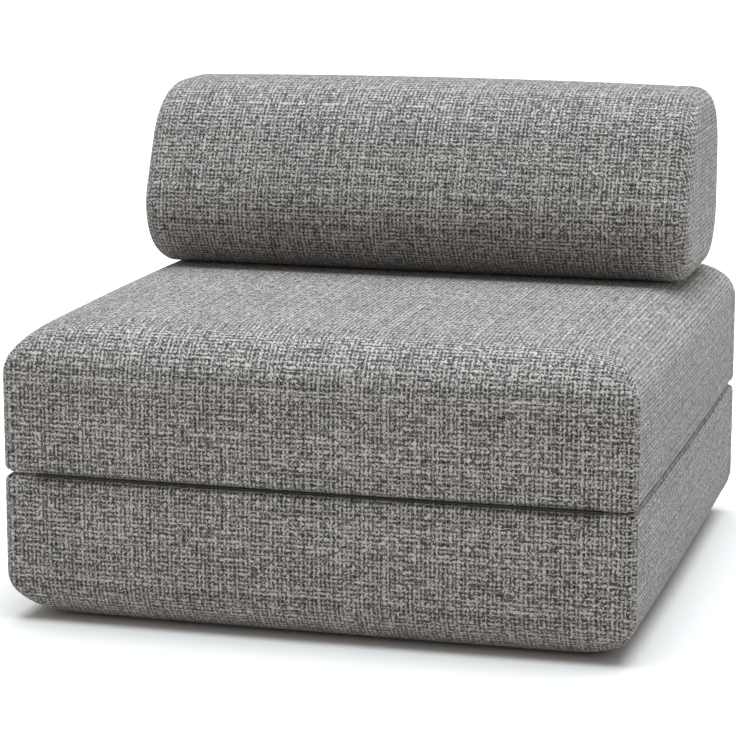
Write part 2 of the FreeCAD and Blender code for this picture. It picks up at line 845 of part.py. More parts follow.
def front_strip(name, bottom):
    """Half of the front hinge strip: its rear edge follows the bow of the cushions' fronts."""
    body = doc.addObject("PartDesign::Body", name)
    half = size_of("front_strip_length") / 2
    (flat_depth, flat_setback), (bend_depth, bend_setback) = quarter_round(
        seam_round, SEAM_ROUND_BANDS
    )[:2]
    slope = (flat_setback - bend_setback) / (bend_depth - flat_depth)
    radius = front_arc_radius - (seam_round - strip_wall * slope - size_of("strip_ease"))
    centre = front_arc_radius - slab_depth / 2
    front_edge = slab_depth / 2 + hinge_lead - fold_ease
    turn = math.degrees(math.asin(half.value / radius.value))
    end_y = centre.value - radius.value * math.cos(math.radians(turn))
    sketch = sketch_on(body, f"{name}_plan", "XY_Plane", ZERO)
    sketch.addGeometry(
        [
            line((-half.value, -front_edge.value), (half.value, -front_edge.value)),
            line((half.value, -front_edge.value), (half.value, end_y)),
            arc((0, centre.value), radius.value, 270 - turn, 270 + turn),
            line((-half.value, end_y), (-half.value, -front_edge.value)),
        ],
        False,
    )
    fold, right, sewn, left = range(4)
    sketch.addConstraint(
        [
            Sketcher.Constraint("Coincident", fold, END, right, START),
            Sketcher.Constraint("Coincident", right, END, sewn, END),
            Sketcher.Constraint("Coincident", sewn, START, left, START),
            Sketcher.Constraint("Coincident", left, END, fold, START),
            Sketcher.Constraint("Vertical", right),
            Sketcher.Constraint("Vertical", left),
            Sketcher.Constraint("Symmetric", fold, START, fold, END, V_AXIS),
            Sketcher.Constraint("PointOnObject", sewn, CENTRE, V_AXIS),
        ]
    )
    dimension(sketch, "length", half * 2, "DistanceX", fold, START, fold, END)
    dimension(sketch, "fold_line", front_edge, "DistanceY", fold, START, *ORIGIN)
    dimension(sketch, "sewn_radius", radius, "Radius", sewn)
    dimension(sketch, "sewn_centre", centre, "DistanceY", *ORIGIN, sewn, CENTRE)
    pad = body.newObject("PartDesign::Pad", f"{name}_pad")
    pad.Profile = sketch
    bind(pad, Length=strip_wall)
    place(body, y=slab_middle, z=bottom)
    return node(body, name)


# The lower slab, its rounded edges down, on a grip sheet
lower_form_height = lower_height - grip_wall
lower_zip_height = lower_form_height - size_of("lower_zip_drop")
lower_panel = slab_cushion(
    "lower",
    lower_form_height,
    size_of("lower_round"),
    seam_round,
    grip_wall,
    lower_zip_height,
    False,
    None,
)
node(lower_panel, "lower_cover_top_panel")

grip_sheet = doc.addObject("PartDesign::Body", "grip_sheet")
grip_inset = size_of("grip_sheet_border")
grip_pad = grip_sheet.newObject("PartDesign::Pad", "grip_sheet_pad")
grip_pad.Profile = slab_outline(
    grip_sheet, "grip_sheet_plan", ZERO, grip_inset, size_of("corner_radius")
)
bind(grip_pad, Length=grip_wall)
place(grip_sheet, y=slab_middle)
node(grip_sheet, "lower_grip_sheet")

# The seat slab, its rounded edges up
seat_panel = slab_cushion(
    "seat",
    seat_height,
    seam_round,
    size_of("seat_round"),
    seat_level,
    size_of("seat_zip_rise"),
    True,
    size_of("seat_crown"),
)
node(seat_panel, "seat_cover_base_panel")

# The bolster: a wrapped cover with two end panels
loaf_outer = loaf_form("bolster_outside", ZERO)
loaf_inner = loaf_form("bolster_inside", cover_wall)
loaf_foam = loaf_form("bolster_foam", core_shrink)
loaf_skin = combine("Part::Cut", "bolster_skin", loaf_outer, loaf_inner)
end_seam = size_of("end_round") * size_of("seam_share")
end_slice_length = size_of("end_round") + end_seam
end_slices = {
    "left": box(
        "bolster_left_slice",
        bolster_length / 2 - end_seam,
        -bolster_depth,
        -bolster_height,
        end_slice_length,
        bolster_depth * 2,
        bolster_height * 3,
    ),
    "right": box(
        "bolster_right_slice",
        end_seam - bolster_length / 2 - end_slice_length,
        -bolster_depth,
        -bolster_height,
        end_slice_length,
        bolster_depth * 2,
        bolster_height * 3,
    ),
}
for side, end_slice in end_slices.items():
    end_panel = combine("Part::Common", f"bolster_{side}_end", loaf_skin, end_slice)
    place(end_panel, y=bolster_middle, z=bolster_level)
    node(end_panel, f"bolster_{side}_end_panel")
both_ends = group("bolster_end_slices", list(end_slices.values()))
loaf_wrap = combine("Part::Cut", "bolster_wrap", loaf_skin, both_ends)
bolster_zip_rise = size_of("bolster_zip_rise")
loaf_shell = combine(
    "Part::Cut",
    "bolster_shell",
    loaf_wrap,
    zip_slot("bolster", bolster_depth / 2, bolster_zip_rise),
)
loaf_core = combine(
    "Part::Cut",
    "bolster_core",
    loaf_foam,
    zip_channel("bolster", bolster_depth / 2, bolster_zip_rise),
)
place(loaf_shell, y=bolster_middle, z=bolster_level)
place(loaf_core, y=bolster_middle, z=bolster_level)
node(loaf_shell, "bolster_cover_wrap")
node(loaf_core, "bolster_foam_core")

# Zips on the three rear walls
zip_parts("lower", slab_rear, grip_wall + lower_zip_height)
zip_parts("seat", slab_rear, seat_level + size_of("seat_zip_rise"))
zip_parts("bolster", bolster_rear, bolster_level + bolster_zip_rise)

# Hinge strips: each is cut at its fold line into the halves that the two cushions carry
front_strip("front_hinge_strip_lower", front_axis_z - fold_ease - strip_wall)
front_strip("front_hinge_strip_seat", front_axis_z + fold_ease)

rear_strip_length = size_of("rear_strip_length")
foot_rear = bolster_rear - size_of("rear_low_radius")
rear_strip_start = foot_rear + size_of("rear_strip_tuck")
rear_strip_depth = rear_axis_y - fold_ease - rear_strip_start
for label, level in (
    ("rear_hinge_strip_seat", rear_axis_z - fold_ease - strip_wall),
    ("rear_hinge_strip_bolster", rear_axis_z + fold_ease),
):
    strip = box(
        label,
        -rear_strip_length / 2,
        rear_strip_start,
        level,
        rear_strip_length,
        rear_strip_depth,
        strip_wall,
    )
    node(strip, label)

doc.recompute()

for thing in doc.Objects:
    if "Invalid" in thing.State or "Error" in thing.State:
        raise RuntimeError(f"{thing.Name} failed: {thing.State}")
for thing in nodes:
    if thing.Shape.isNull() or not thing.Shape.isValid():
        raise RuntimeError(f"{thing.Label} has no valid shape")

os.makedirs("parts", exist_ok=True)
for thing in nodes:
    thing.Shape.exportStep(f"parts/{thing.Label}.step")
    bounds = thing.Shape.BoundBox
    print(
        thing.Label,
        len(thing.Shape.Solids),
        round(thing.Shape.Volume),
        [round(value, 2) for value in (bounds.XMin, bounds.YMin, bounds.ZMin)],
        [round(value, 2) for value in (bounds.XMax, bounds.YMax, bounds.ZMax)],
    )
print("hinge axes y z", front_axis_y.value, front_axis_z.value, rear_axis_y.value, rear_axis_z.value)
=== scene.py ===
import math
import bpy
import numpy as np
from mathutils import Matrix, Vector
from mathutils.bvhtree import BVHTree


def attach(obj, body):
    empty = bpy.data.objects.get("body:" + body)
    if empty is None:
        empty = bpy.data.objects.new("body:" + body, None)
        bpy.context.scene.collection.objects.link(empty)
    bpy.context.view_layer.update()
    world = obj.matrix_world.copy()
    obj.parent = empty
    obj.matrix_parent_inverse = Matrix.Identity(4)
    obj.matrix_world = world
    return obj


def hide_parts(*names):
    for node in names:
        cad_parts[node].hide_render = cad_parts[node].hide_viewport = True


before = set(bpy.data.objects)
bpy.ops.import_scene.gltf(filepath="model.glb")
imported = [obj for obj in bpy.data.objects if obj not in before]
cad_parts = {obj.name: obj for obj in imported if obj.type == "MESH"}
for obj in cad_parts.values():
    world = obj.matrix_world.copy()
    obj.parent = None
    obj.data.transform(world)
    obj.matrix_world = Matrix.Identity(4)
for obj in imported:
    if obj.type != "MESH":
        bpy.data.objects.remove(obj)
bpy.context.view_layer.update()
MM = 0.001

# Sizes repeated from the part's source, in millimetres
SLAB_WIDTH = 720
SLAB_DEPTH = 732
SLAB_MIDDLE = -2.4
CORNER_RADIUS = 8
SEAM_ROUND = 10
SEAM_LEVEL = 3
SEAT_ROUND = 58
LOWER_ROUND = 56
GRIP_WALL = 1.2
LOWER_TOP = 170
SEAT_LEVEL = 170.3
SEAT_HEIGHT = 170
ZIP_LEVEL = 44
ZIP_HALF = 300
TAPE_REACH = 12
BOLSTER_LENGTH = 682
BOLSTER_DEPTH = 268
BOLSTER_HEIGHT = 228
BOLSTER_MIDDLE = 174.6
BOLSTER_LEVEL = 340.3015
BOLSTER_ZIP = 112
FRONT_LOW = 76
REAR_LOW = 78
FRONT_TOP = 104
REAR_TOP = 80
FRONT_LEAN = 23
GRIP_INSET = 64
FRONT_FOLD = (-368.9, 170.15)
REAR_FOLD = (341.1, 340.3015)

# Where the covers depart from the solids, as the photograph asks: how much a corner's
# radius gains per mm of rounding, and the rounding and seam of the bolster's ends
SEAT_CORNER_SWELL = 0.95
LOWER_CORNER_SWELL = 0.75
END_ROUND = 25
END_SEAM = 7.5
# No foam block has a sharper corner than this, in mm
LEAST_CORNER = 1.5

# The covers start a little slack and swell to the bow that the photograph shows, in mm
START_FRONT_BOW = 3.8
START_SIDE_BOW = 2.8
START_CROWN = 2.0
START_SQUEEZE = 2.7
SWELL_CAP = 3.2
WALL_SLACK = 2.7
TOP_SLACK = 1.1
BARREL_SLACK = 1.8
END_SLACK = 3.6
LEAST_RISE = -0.6
FRONT_LIMIT = -366.2
SIM_VOXEL = 7.5
SIM_FRAMES = 20
SIM_PRESSURE = 4.0

# Stations round each form
SIDE_STATIONS = 112
HALF_CORNER = 8
LOAF_STATIONS = 64
LOAF_HALF_CORNER = 12
CORNER_CROWDING = 1.7
# Rows of points beside each edge of a zip's tapes, counted outwards from the edge
ZIP_EDGE_STEPS = (-0.9, -0.2, 0.5, 1.3, 2.4)
ZIP_EDGE_CLEAR = 2.6

# How firmly a cover is held: each pair runs from the first mm to the last of a fade
UNDERSIDE_FADE = (1.5, 7.0)
CORNER_SEAM_FADE = (8.0, 45.0)
LOAF_FOOT_FADE = (3.0, 16.0)
END_SEAM_FADE = (3.0, 16.0)
END_SEAM_HOLD = 0.8

# Seams as (depth, width), and the channels in which the zips lie, in mm
PANEL_SEAM = (0.5, 1.0)
CORNER_SEAM = (2.5, 2.0)
BOLSTER_SEAM = (0.6, 1.4)
CHANNEL_DEPTH = 2.4
CHANNEL_LIP = 0.5
# Columns of points on each side of a corner's seam
SEAM_COLUMNS = 12


def linear(hex_colour):
    """An sRGB hex value as linear RGBA."""
    channels = [int(hex_colour[i : i + 2], 16) / 255 for i in (1, 3, 5)]
    return tuple(
        c / 12.92 if c <= 0.04045 else ((c + 0.055) / 1.055) ** 2.4 for c in channels
    ) + (1.0,)


def add(tree, kind, settings=None, links=None):
    """One node: settings are its properties, links are values or sockets for its inputs."""
    node = tree.nodes.new(kind)
    for key, value in (settings or {}).items():
        setattr(node, key, value)
    for key, value in (links or {}).items():
        if isinstance(value, bpy.types.Node):
            value = value.outputs[0]
        if isinstance(value, bpy.types.NodeSocket):
            tree.links.new(value, node.inputs[key])
        else:
            node.inputs[key].default_value = value
    return node


def material(name, **sockets):
    """A material with one shader, whose sockets are set directly."""
    made = bpy.data.materials.new(name)
    made.use_nodes = True
    tree = made.node_tree
    tree.nodes.clear()
    shader = add(tree, "ShaderNodeBsdfPrincipled")
    add(tree, "ShaderNodeOutputMaterial", None, {"Surface": shader})
    for key, value in sockets.items():
        shader.inputs[key.replace("_", " ")].default_value = value
    return made, tree, shader


TIMES = {"operation": "MULTIPLY"}
TIMES_PLUS = {"operation": "MULTIPLY_ADD"}

# Upholstery: a basket weave of marled polyester yarn, with about 5 mm from thread to thread;
# painted shade darkens its gaps. It looks dull, soft and flecked, with short raised runs of yarn.
# The periods and the relief are in mm, the rest in threads or shares of the height.
WEFT_PERIOD = 4.9
WARP_PERIOD = 5.2
THREAD_SWAY = 1.3
SWAY_SCALE = 1.3
SPACING_UNEVEN = 0.6
YARN_LEAN = 0.2
RUN_SPACING = (2.4, 7.31, 1.0)
TONE_SPREAD = 0.06
TONE_LIFT = 0.03
RUN_CONTRAST = 0.19
FIBRE_SCALE = 2.5
BLOTCH_SCALE = 0.55
BLOTCH_DEPTH = 0.6
GAP_SHADE = 0.735
WEAVE_RELIEF = 1.0


def cover_cloth():
    made, tree, shader = material(
        "marled_basket_weave",
        Roughness=0.92,
        Sheen_Weight=0.15,
        Sheen_Roughness=0.6,
        Specular_IOR_Level=0.2,
    )
    cloth = add(tree, "ShaderNodeAttribute", {"attribute_name": "cloth_mm"})
    grid = add(
        tree,
        "ShaderNodeVectorMath",
        TIMES,
        {0: cloth.outputs["Vector"], 1: (1 / WEFT_PERIOD, 1 / WARP_PERIOD, 0.0)},
    )
    sway = add(
        tree,
        "ShaderNodeTexNoise",
        None,
        {"Vector": grid, "Scale": SWAY_SCALE, "Detail": 2.0, "Roughness": 0.65},
    )
    shifted = add(
        tree,
        "ShaderNodeVectorMath",
        TIMES_PLUS,
        {0: sway.outputs["Color"], 1: (THREAD_SWAY, THREAD_SWAY, 0.0), 2: grid},
    )
    parts = add(tree, "ShaderNodeSeparateXYZ", None, {0: shifted})
    patch = add(tree, "ShaderNodeTexNoise", None, {"Vector": grid, "Scale": 0.2, "Detail": 1.0})
    threads = []
    for across, along, lean, seed in (("Y", "X", YARN_LEAN, 0.0), ("X", "Y", -YARN_LEAN, 37.0)):
        uneven = add(
            tree,
            "ShaderNodeTexNoise",
            {"noise_dimensions": "1D"},
            {"W": parts.outputs[across], "Scale": 0.8, "Detail": 1.0},
        )
        line = add(
            tree,
            "ShaderNodeMath",
            TIMES_PLUS,
            {0: uneven, 1: SPACING_UNEVEN, 2: parts.outputs[across]},
        )
        turn = add(tree, "ShaderNodeMath", TIMES, {0: line, 1: 2 * math.pi})
        wave = add(tree, "ShaderNodeMath", {"operation": "COSINE"}, {0: turn})
        index = add(tree, "ShaderNodeMath", {"operation": "ROUND"}, {0: line})
        lane = add(
            tree, "ShaderNodeCombineXYZ", None, {"X": parts.outputs[along], "Y": index, "Z": seed}
        )
        spaced = add(tree, "ShaderNodeVectorMath", TIMES, {0: lane, 1: RUN_SPACING})
        slub = add(
            tree,
            "ShaderNodeTexNoise",
            None,
            {"Vector": spaced, "Scale": 1.0, "Detail": 1.0, "Roughness": 0.6},
        )
        tone = add(tree, "ShaderNodeTexWhiteNoise", {"noise_dimensions": "1D"}, {"W": index})
        leaning = add(tree, "ShaderNodeMath", TIMES_PLUS, {0: patch, 1: lean, 2: slub})
        toned = add(tree, "ShaderNodeMath", TIMES_PLUS, {0: tone, 1: TONE_SPREAD, 2: leaning})
        middle = 0.5 + 0.5 * lean + TONE_LIFT
        reach = add(
            tree,
            "ShaderNodeMapRange",
            None,
            {0: toned, 1: middle - RUN_CONTRAST, 2: middle + RUN_CONTRAST, 3: 0.1, 4: 1.0},
        )
        round_thread = add(
            tree, "ShaderNodeMapRange", None, {0: wave, 1: -0.85, 2: 0.8, 3: 0.0, 4: 1.0}
        )
        threads.append(add(tree, "ShaderNodeMath", TIMES, {0: round_thread, 1: reach}))
    height = add(tree, "ShaderNodeMath", {"operation": "MAXIMUM"}, {0: threads[0], 1: threads[1]})
    fibre = add(
        tree,
        "ShaderNodeTexNoise",
        None,
        {"Vector": grid, "Scale": FIBRE_SCALE, "Detail": 2.0, "Roughness": 0.7},
    )
    marled = add(tree, "ShaderNodeMath", TIMES_PLUS, {0: fibre, 1: 1.0, 2: height})
    blotch = add(
        tree,
        "ShaderNodeTexNoise",
        None,
        {"Vector": grid, "Scale": BLOTCH_SCALE, "Detail": 2.0, "Roughness": 0.75},
    )
    blotched = add(tree, "ShaderNodeMath", TIMES_PLUS, {0: blotch, 1: BLOTCH_DEPTH, 2: marled})
    shade = add(
        tree,
        "ShaderNodeMath",
        {"operation": "SUBTRACT", "use_clamp": True},
        {0: blotched, 1: GAP_SHADE},
    )
    # Colour from the weave's height: painted shade, near black in the gaps between the yarns and
    # mid grey on their lower spans, over the yarn's own flecks and thread tones
    ramp = add(tree, "ShaderNodeValToRGB", None, {0: shade})
    stops = ramp.color_ramp.elements
    stops[0].position = 0.0
    stops[0].color = linear("#0A0806")
    stops[1].position = 0.85
    stops[1].color = linear("#ACA7A2")
    mid_tone = stops.new(0.42)
    mid_tone.color = linear("#5B5754")
    tree.links.new(ramp.outputs["Color"], shader.inputs["Base Color"])
    bump = add(
        tree,
        "ShaderNodeBump",
        None,
        {"Height": shade, "Strength": 0.8, "Distance": WEAVE_RELIEF * MM},
    )
    tree.links.new(bump.outputs["Normal"], shader.inputs["Normal"])
    return made


cloth_weave = cover_cloth()


def mottled(name, colour, roughness, grain_mm, contrast, depth_mm, **sockets):
    """A finish whose colour and height vary with an irregular grain of the given size."""
    made, tree, shader = material(name, Roughness=roughness, **sockets)
    place = add(tree, "ShaderNodeTexCoord")
    grain = add(
        tree,
        "ShaderNodeTexNoise",
        None,
        {"Vector": place.outputs["Object"], "Scale": 1 / (grain_mm * MM), "Detail": 3.0},
    )
    ramp = add(tree, "ShaderNodeValToRGB", None, {0: grain})
    base = linear(colour)
    stops = ramp.color_ramp.elements
    stops[0].position = 0.3
    stops[0].color = tuple(c * (1 - contrast) for c in base[:3]) + (1.0,)
    stops[1].position = 0.7
    stops[1].color = tuple(min(1.0, c * (1 + contrast)) for c in base[:3]) + (1.0,)
    tree.links.new(ramp.outputs["Color"], shader.inputs["Base Color"])
    bump = add(
        tree, "ShaderNodeBump", None, {"Height": grain, "Strength": 0.6, "Distance": depth_mm * MM}
    )
    tree.links.new(bump.outputs["Normal"], shader.inputs["Normal"])
    return made


def ribbed(name, colour, ridge_colour, rib_mm, lean):
    """A woven tape: ribs across its length, broken into slanting rows of stitches."""
    made, tree, shader = material(
        name, Roughness=0.85, Sheen_Weight=0.1, Sheen_Roughness=0.5, Specular_IOR_Level=0.25
    )
    place = add(tree, "ShaderNodeTexCoord")
    split = add(tree, "ShaderNodeSeparateXYZ", None, {0: place.outputs["Object"]})
    across = add(
        tree, "ShaderNodeMath", {"operation": "ADD"}, {0: split.outputs["Y"], 1: split.outputs["Z"]}
    )
    zigzag = add(tree, "ShaderNodeMath", {"operation": "PINGPONG"}, {0: across, 1: 2 * rib_mm * MM})
    slanted = add(tree, "ShaderNodeMath", TIMES_PLUS, {0: zigzag, 1: lean, 2: split.outputs["X"]})
    turn = add(tree, "ShaderNodeMath", TIMES, {0: slanted, 1: 2 * math.pi / (rib_mm * MM)})
    wave = add(tree, "ShaderNodeMath", {"operation": "SINE"}, {0: turn})
    fuzz = add(
        tree,
        "ShaderNodeTexNoise",
        None,
        {"Vector": place.outputs["Object"], "Scale": 1 / (0.5 * MM), "Detail": 2.0},
    )
    height = add(tree, "ShaderNodeMath", TIMES_PLUS, {0: wave, 1: 0.35, 2: fuzz})
    ramp = add(tree, "ShaderNodeValToRGB", None, {0: height})
    stops = ramp.color_ramp.elements
    stops[0].position = 0.2
    stops[0].color = linear(colour)
    stops[1].position = 0.85
    stops[1].color = linear(ridge_colour)
    tree.links.new(ramp.outputs["Color"], shader.inputs["Base Color"])
    bump = add(
        tree, "ShaderNodeBump", None, {"Height": height, "Strength": 0.7, "Distance": 0.3 * MM}
    )
    tree.links.new(bump.outputs["Normal"], shader.inputs["Normal"])
    return made


# Cut flexible foam: cream, matt, with open cells of about 1.5 mm
foam_finish = mottled("cut_polyurethane_foam", "#E3D9B8", 0.95, 1.5, 0.12, 0.5)
# Non-woven felt under the cushion: near black, matt and slightly fluffy
grip_finish = mottled("needled_polyester_felt", "#26262A", 0.95, 1.2, 0.35, 0.4, Sheen_Weight=0.2)
# PVC printed in dots that grip the floor: black with a soft gloss
dot_finish = mottled("printed_pvc_dots", "#17171A", 0.45, 2.0, 0.15, 0.05)
# Grosgrain tape in the folds, with ribs of about 1.5 mm across its length, coloured near black as
# painted shade for the shadowed gap between the cushions
hinge_tape_painted_shade = ribbed("grosgrain_hinge_tape_painted_shade", "#151413", "#2B2927", 1.5, 0.0)
# Herringbone tape that carries the zip: dark grey, with rows that slant to and fro
zip_cloth = ribbed("herringbone_zip_tape", "#3B3A38", "#6B6966", 1.2, 0.8)
# Extruded nylon wire, wound into the zip's teeth: smooth, with a soft gloss
nylon = mottled("extruded_nylon_wire", "#4B4A48", 0.35, 0.8, 0.1, 0.02)
# Die-cast zinc with a baked coat: mid grey, with faint orange peel and a satin gloss
zip_metal = mottled("coated_zinc_casting", "#77756F", 0.38, 0.6, 0.12, 0.03, Metallic=0.35)
# Spun polyester sewing thread: a little lighter and smoother than the cloth
thread_finish = mottled("spun_polyester_thread", "#8F8B87", 0.6, 0.3, 0.2, 0.05)


def bow_radius(run, bow):
    return (run * run + bow * bow) / (bow * 2)


FRONT_ARC = bow_radius(SLAB_WIDTH / 2, START_FRONT_BOW)
SIDE_ARC = bow_radius(SLAB_DEPTH / 2, START_SIDE_BOW)


def bearing(start, end):
    return math.atan2(end[1] - start[1], end[0] - start[0])


def spread(count, bunch):
    """Stations from 0 to 1, closer together at both ends."""
    t = np.linspace(0, 1, count + 1)
    return t - bunch * np.sin(2 * math.pi * t) / (2 * math.pi)


def arc_points(centre, radius, start, end, shares):
    angles = start + (end - start) * shares
    return np.stack(
        [centre[0] + radius * np.cos(angles), centre[1] + radius * np.sin(angles)], axis=1
    )


def slab_ring(inset, corner, count, half_corner):
    """A slab's plan as one ring of points, from the left front corner anticlockwise."""
    front_radius = FRONT_ARC - inset
    side_radius = SIDE_ARC - inset
    front_point = (0.0, FRONT_ARC - SLAB_DEPTH / 2)
    right_point = (SLAB_WIDTH / 2 - SIDE_ARC, 0.0)
    rear_line = SLAB_DEPTH / 2 - inset
    reach_front = front_radius - corner
    reach_side = side_radius - corner
    gap = math.hypot(front_point[1], right_point[0])
    along = (reach_front**2 - reach_side**2 + gap**2) / (2 * gap)
    across = math.sqrt(reach_front**2 - along**2)
    toward = (right_point[0] / gap, -front_point[1] / gap)
    front_right = max(
        (
            toward[0] * along - sign * toward[1] * across,
            front_point[1] + toward[1] * along + sign * toward[0] * across,
        )
        for sign in (1, -1)
    )
    rear_y = rear_line - corner
    rear_right = (right_point[0] + math.sqrt(reach_side**2 - rear_y**2), rear_y)
    low = bearing(front_point, front_right)
    side_low = bearing(right_point, front_right)
    side_high = bearing(right_point, rear_right)
    half_front = (low + side_low) / 2
    half_rear = (side_high + math.pi / 2) / 2
    edge = spread(count - 2 * half_corner, 0.5)
    # stations crowd at the corner seam, half way round each corner
    toward_seam = 1 - np.linspace(1, 0, half_corner + 1) ** CORNER_CROWDING
    from_seam = np.linspace(0, 1, half_corner + 1) ** CORNER_CROWDING
    later = edge[edge >= 0.5]
    rear_x = rear_right[0] * (1 - edge[edge <= 0.5] * 2)
    right_half = np.concatenate(
        [
            arc_points(front_point, front_radius, -math.pi / 2, low, (later - 0.5) * 2),
            arc_points(front_right, corner, low, half_front, toward_seam)[1:],
            arc_points(front_right, corner, half_front, side_low, from_seam)[1:],
            arc_points(right_point, side_radius, side_low, side_high, edge)[1:],
            arc_points(rear_right, corner, side_high, half_rear, toward_seam)[1:],
            arc_points(rear_right, corner, half_rear, math.pi / 2, from_seam)[1:],
            np.stack([rear_x, np.full(len(rear_x), rear_line)], axis=1)[1:],
        ]
    )
    left_half = right_half[::-1] * (-1, 1)
    ring = np.concatenate([right_half, left_half[1:-1]])
    return np.roll(ring, count // 2, axis=0)


def blended_cap(ring, n):
    """A grid of points inside a ring of 4 n points, blended from its four sides."""
    low = ring[: n + 1]
    right = ring[n : 2 * n + 1]
    high = ring[2 * n : 3 * n + 1][::-1]
    left = np.concatenate([ring[3 * n :], ring[:1]])[::-1]
    s = ((low[:, 0] - low[0, 0]) / (low[-1, 0] - low[0, 0]))[:, None, None]
    t = ((right[:, 1] - right[0, 1]) / (right[-1, 1] - right[0, 1]))[None, :, None]
    ruled = (1 - s) * left[None] + s * right[None] + (1 - t) * low[:, None] + t * high[:, None]
    corners = (
        (1 - s) * (1 - t) * low[0]
        + s * (1 - t) * low[-1]
        + (1 - s) * t * high[0]
        + s * t * high[-1]
    )
    return ruled - corners


def closed_form(rings, n):
    """Vertices and faces of a stack of rings with a blended cap at each end."""
    count, around, _ = rings.shape
    verts = [rings.reshape(-1, 3)]
    faces = []
    for row in range(count - 1):
        a = row * around
        for i in range(around):
            j = (i + 1) % around
            faces.append((a + i, a + j, a + around + j, a + around + i))
    start = count * around
    for end, ring in ((0, rings[0]), (count - 1, rings[-1])):
        grid = blended_cap(ring, n)
        base = end * around
        index = np.full((n + 1, n + 1), -1, int)
        steps = np.arange(n + 1)
        index[:, 0] = base + steps
        index[n, :] = base + n + steps
        index[:, n] = base + 3 * n - steps
        index[0, :] = base + (4 * n - steps) % around
        inner = grid[1:-1, 1:-1]
        index[1:-1, 1:-1] = start + np.arange((n - 1) ** 2).reshape(n - 1, n - 1)
        start += (n - 1) ** 2
        verts.append(inner.reshape(-1, 3))
        for i in range(n):
            for j in range(n):
                quad = (index[i, j], index[i + 1, j], index[i + 1, j + 1], index[i, j + 1])
                faces.append(quad if end else quad[::-1])
    return np.concatenate(verts), faces


def mesh_object(name, verts, faces, finish, smooth=True):
    mesh = bpy.data.meshes.new(name)
    mesh.from_pydata([tuple(v) for v in np.asarray(verts) * MM], [], faces)
    mesh.materials.append(finish)
    mesh.polygons.foreach_set("use_smooth", [smooth] * len(mesh.polygons))
    mesh.update()
    made = bpy.data.objects.new(name, mesh)
    bpy.context.scene.collection.objects.link(made)
    return made


def dressed(made, body, nodes=()):
    """Ties a finished piece to its body, and hides the CAD nodes it stands for."""
    if nodes:
        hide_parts(*nodes)
    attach(made, body)
    return made


def zip_edge_marks(level):
    """Where rows of points run beside a zip's tapes, below and above its line."""
    return [level + side * (TAPE_REACH + d) for side in (-1, 1) for d in ZIP_EDGE_STEPS]


def slab_rows(height, low_round, high_round, shrink, counts, zip_rows=True):
    """(setback, level) of each ring, from the seamed flat up to the far flat."""
    low_count, high_count, wall_count = counts
    low = low_round - shrink
    high = high_round - shrink
    rows = []
    for step in range(low_count + 1):
        angle = math.pi / 2 * step / low_count
        rows.append((low * (1 - math.sin(angle)), shrink + low * (1 - math.cos(angle))))
    foot = shrink + low
    head = height - shrink - high
    levels = list(np.linspace(foot, head, wall_count + 1)[1:-1])
    if zip_rows:
        levels = [z for z in levels if abs(abs(z - ZIP_LEVEL) - TAPE_REACH) > ZIP_EDGE_CLEAR]
        levels += zip_edge_marks(ZIP_LEVEL)
    rows += [(0.0, z) for z in sorted(levels)]
    for step in range(high_count + 1):
        angle = math.pi / 2 * (1 - step / high_count)
        rows.append((high * (1 - math.sin(angle)), height - shrink - high * (1 - math.cos(angle))))
    return rows


def slab_stack(rows, shrink, count, half_corner, corner_swell):
    rings = []
    for setback, level in rows:
        corner = max(CORNER_RADIUS - shrink, LEAST_CORNER) + corner_swell * setback
        ring = slab_ring(shrink + setback, corner, count, half_corner)
        rings.append(np.column_stack([ring, np.full(len(ring), level)]))
    return np.array(rings)


def smooth_step(values, low, high):
    t = np.clip((values - low) / (high - low), 0, 1)
    return t * t * (3 - 2 * t)


def vertex_normals(verts, faces):
    quads = np.array(faces)
    p = verts[quads]
    face_normals = np.cross(p[:, 2] - p[:, 0], p[:, 3] - p[:, 1])
    normals = np.zeros_like(verts)
    for k in range(4):
        np.add.at(normals, quads[:, k], face_normals)
    return normals / np.maximum(np.linalg.norm(normals, axis=1, keepdims=True), 1e-9)


def slackened(verts, faces, held, slack):
    """The cover before it is filled: drawn in wherever nothing holds it."""
    drawn_in = (1 - held(verts)) * slack
    return verts - vertex_normals(verts, faces) * drawn_in[:, None]


def kept_full(form, moved, faces):
    """The filled cover, kept from sinking where the stuffing backs the cloth."""
    normals = vertex_normals(form, faces)
    rise = ((moved - form) * normals).sum(axis=1)
    lift = np.maximum(0, LEAST_RISE - rise)
    return moved + normals * lift[:, None]


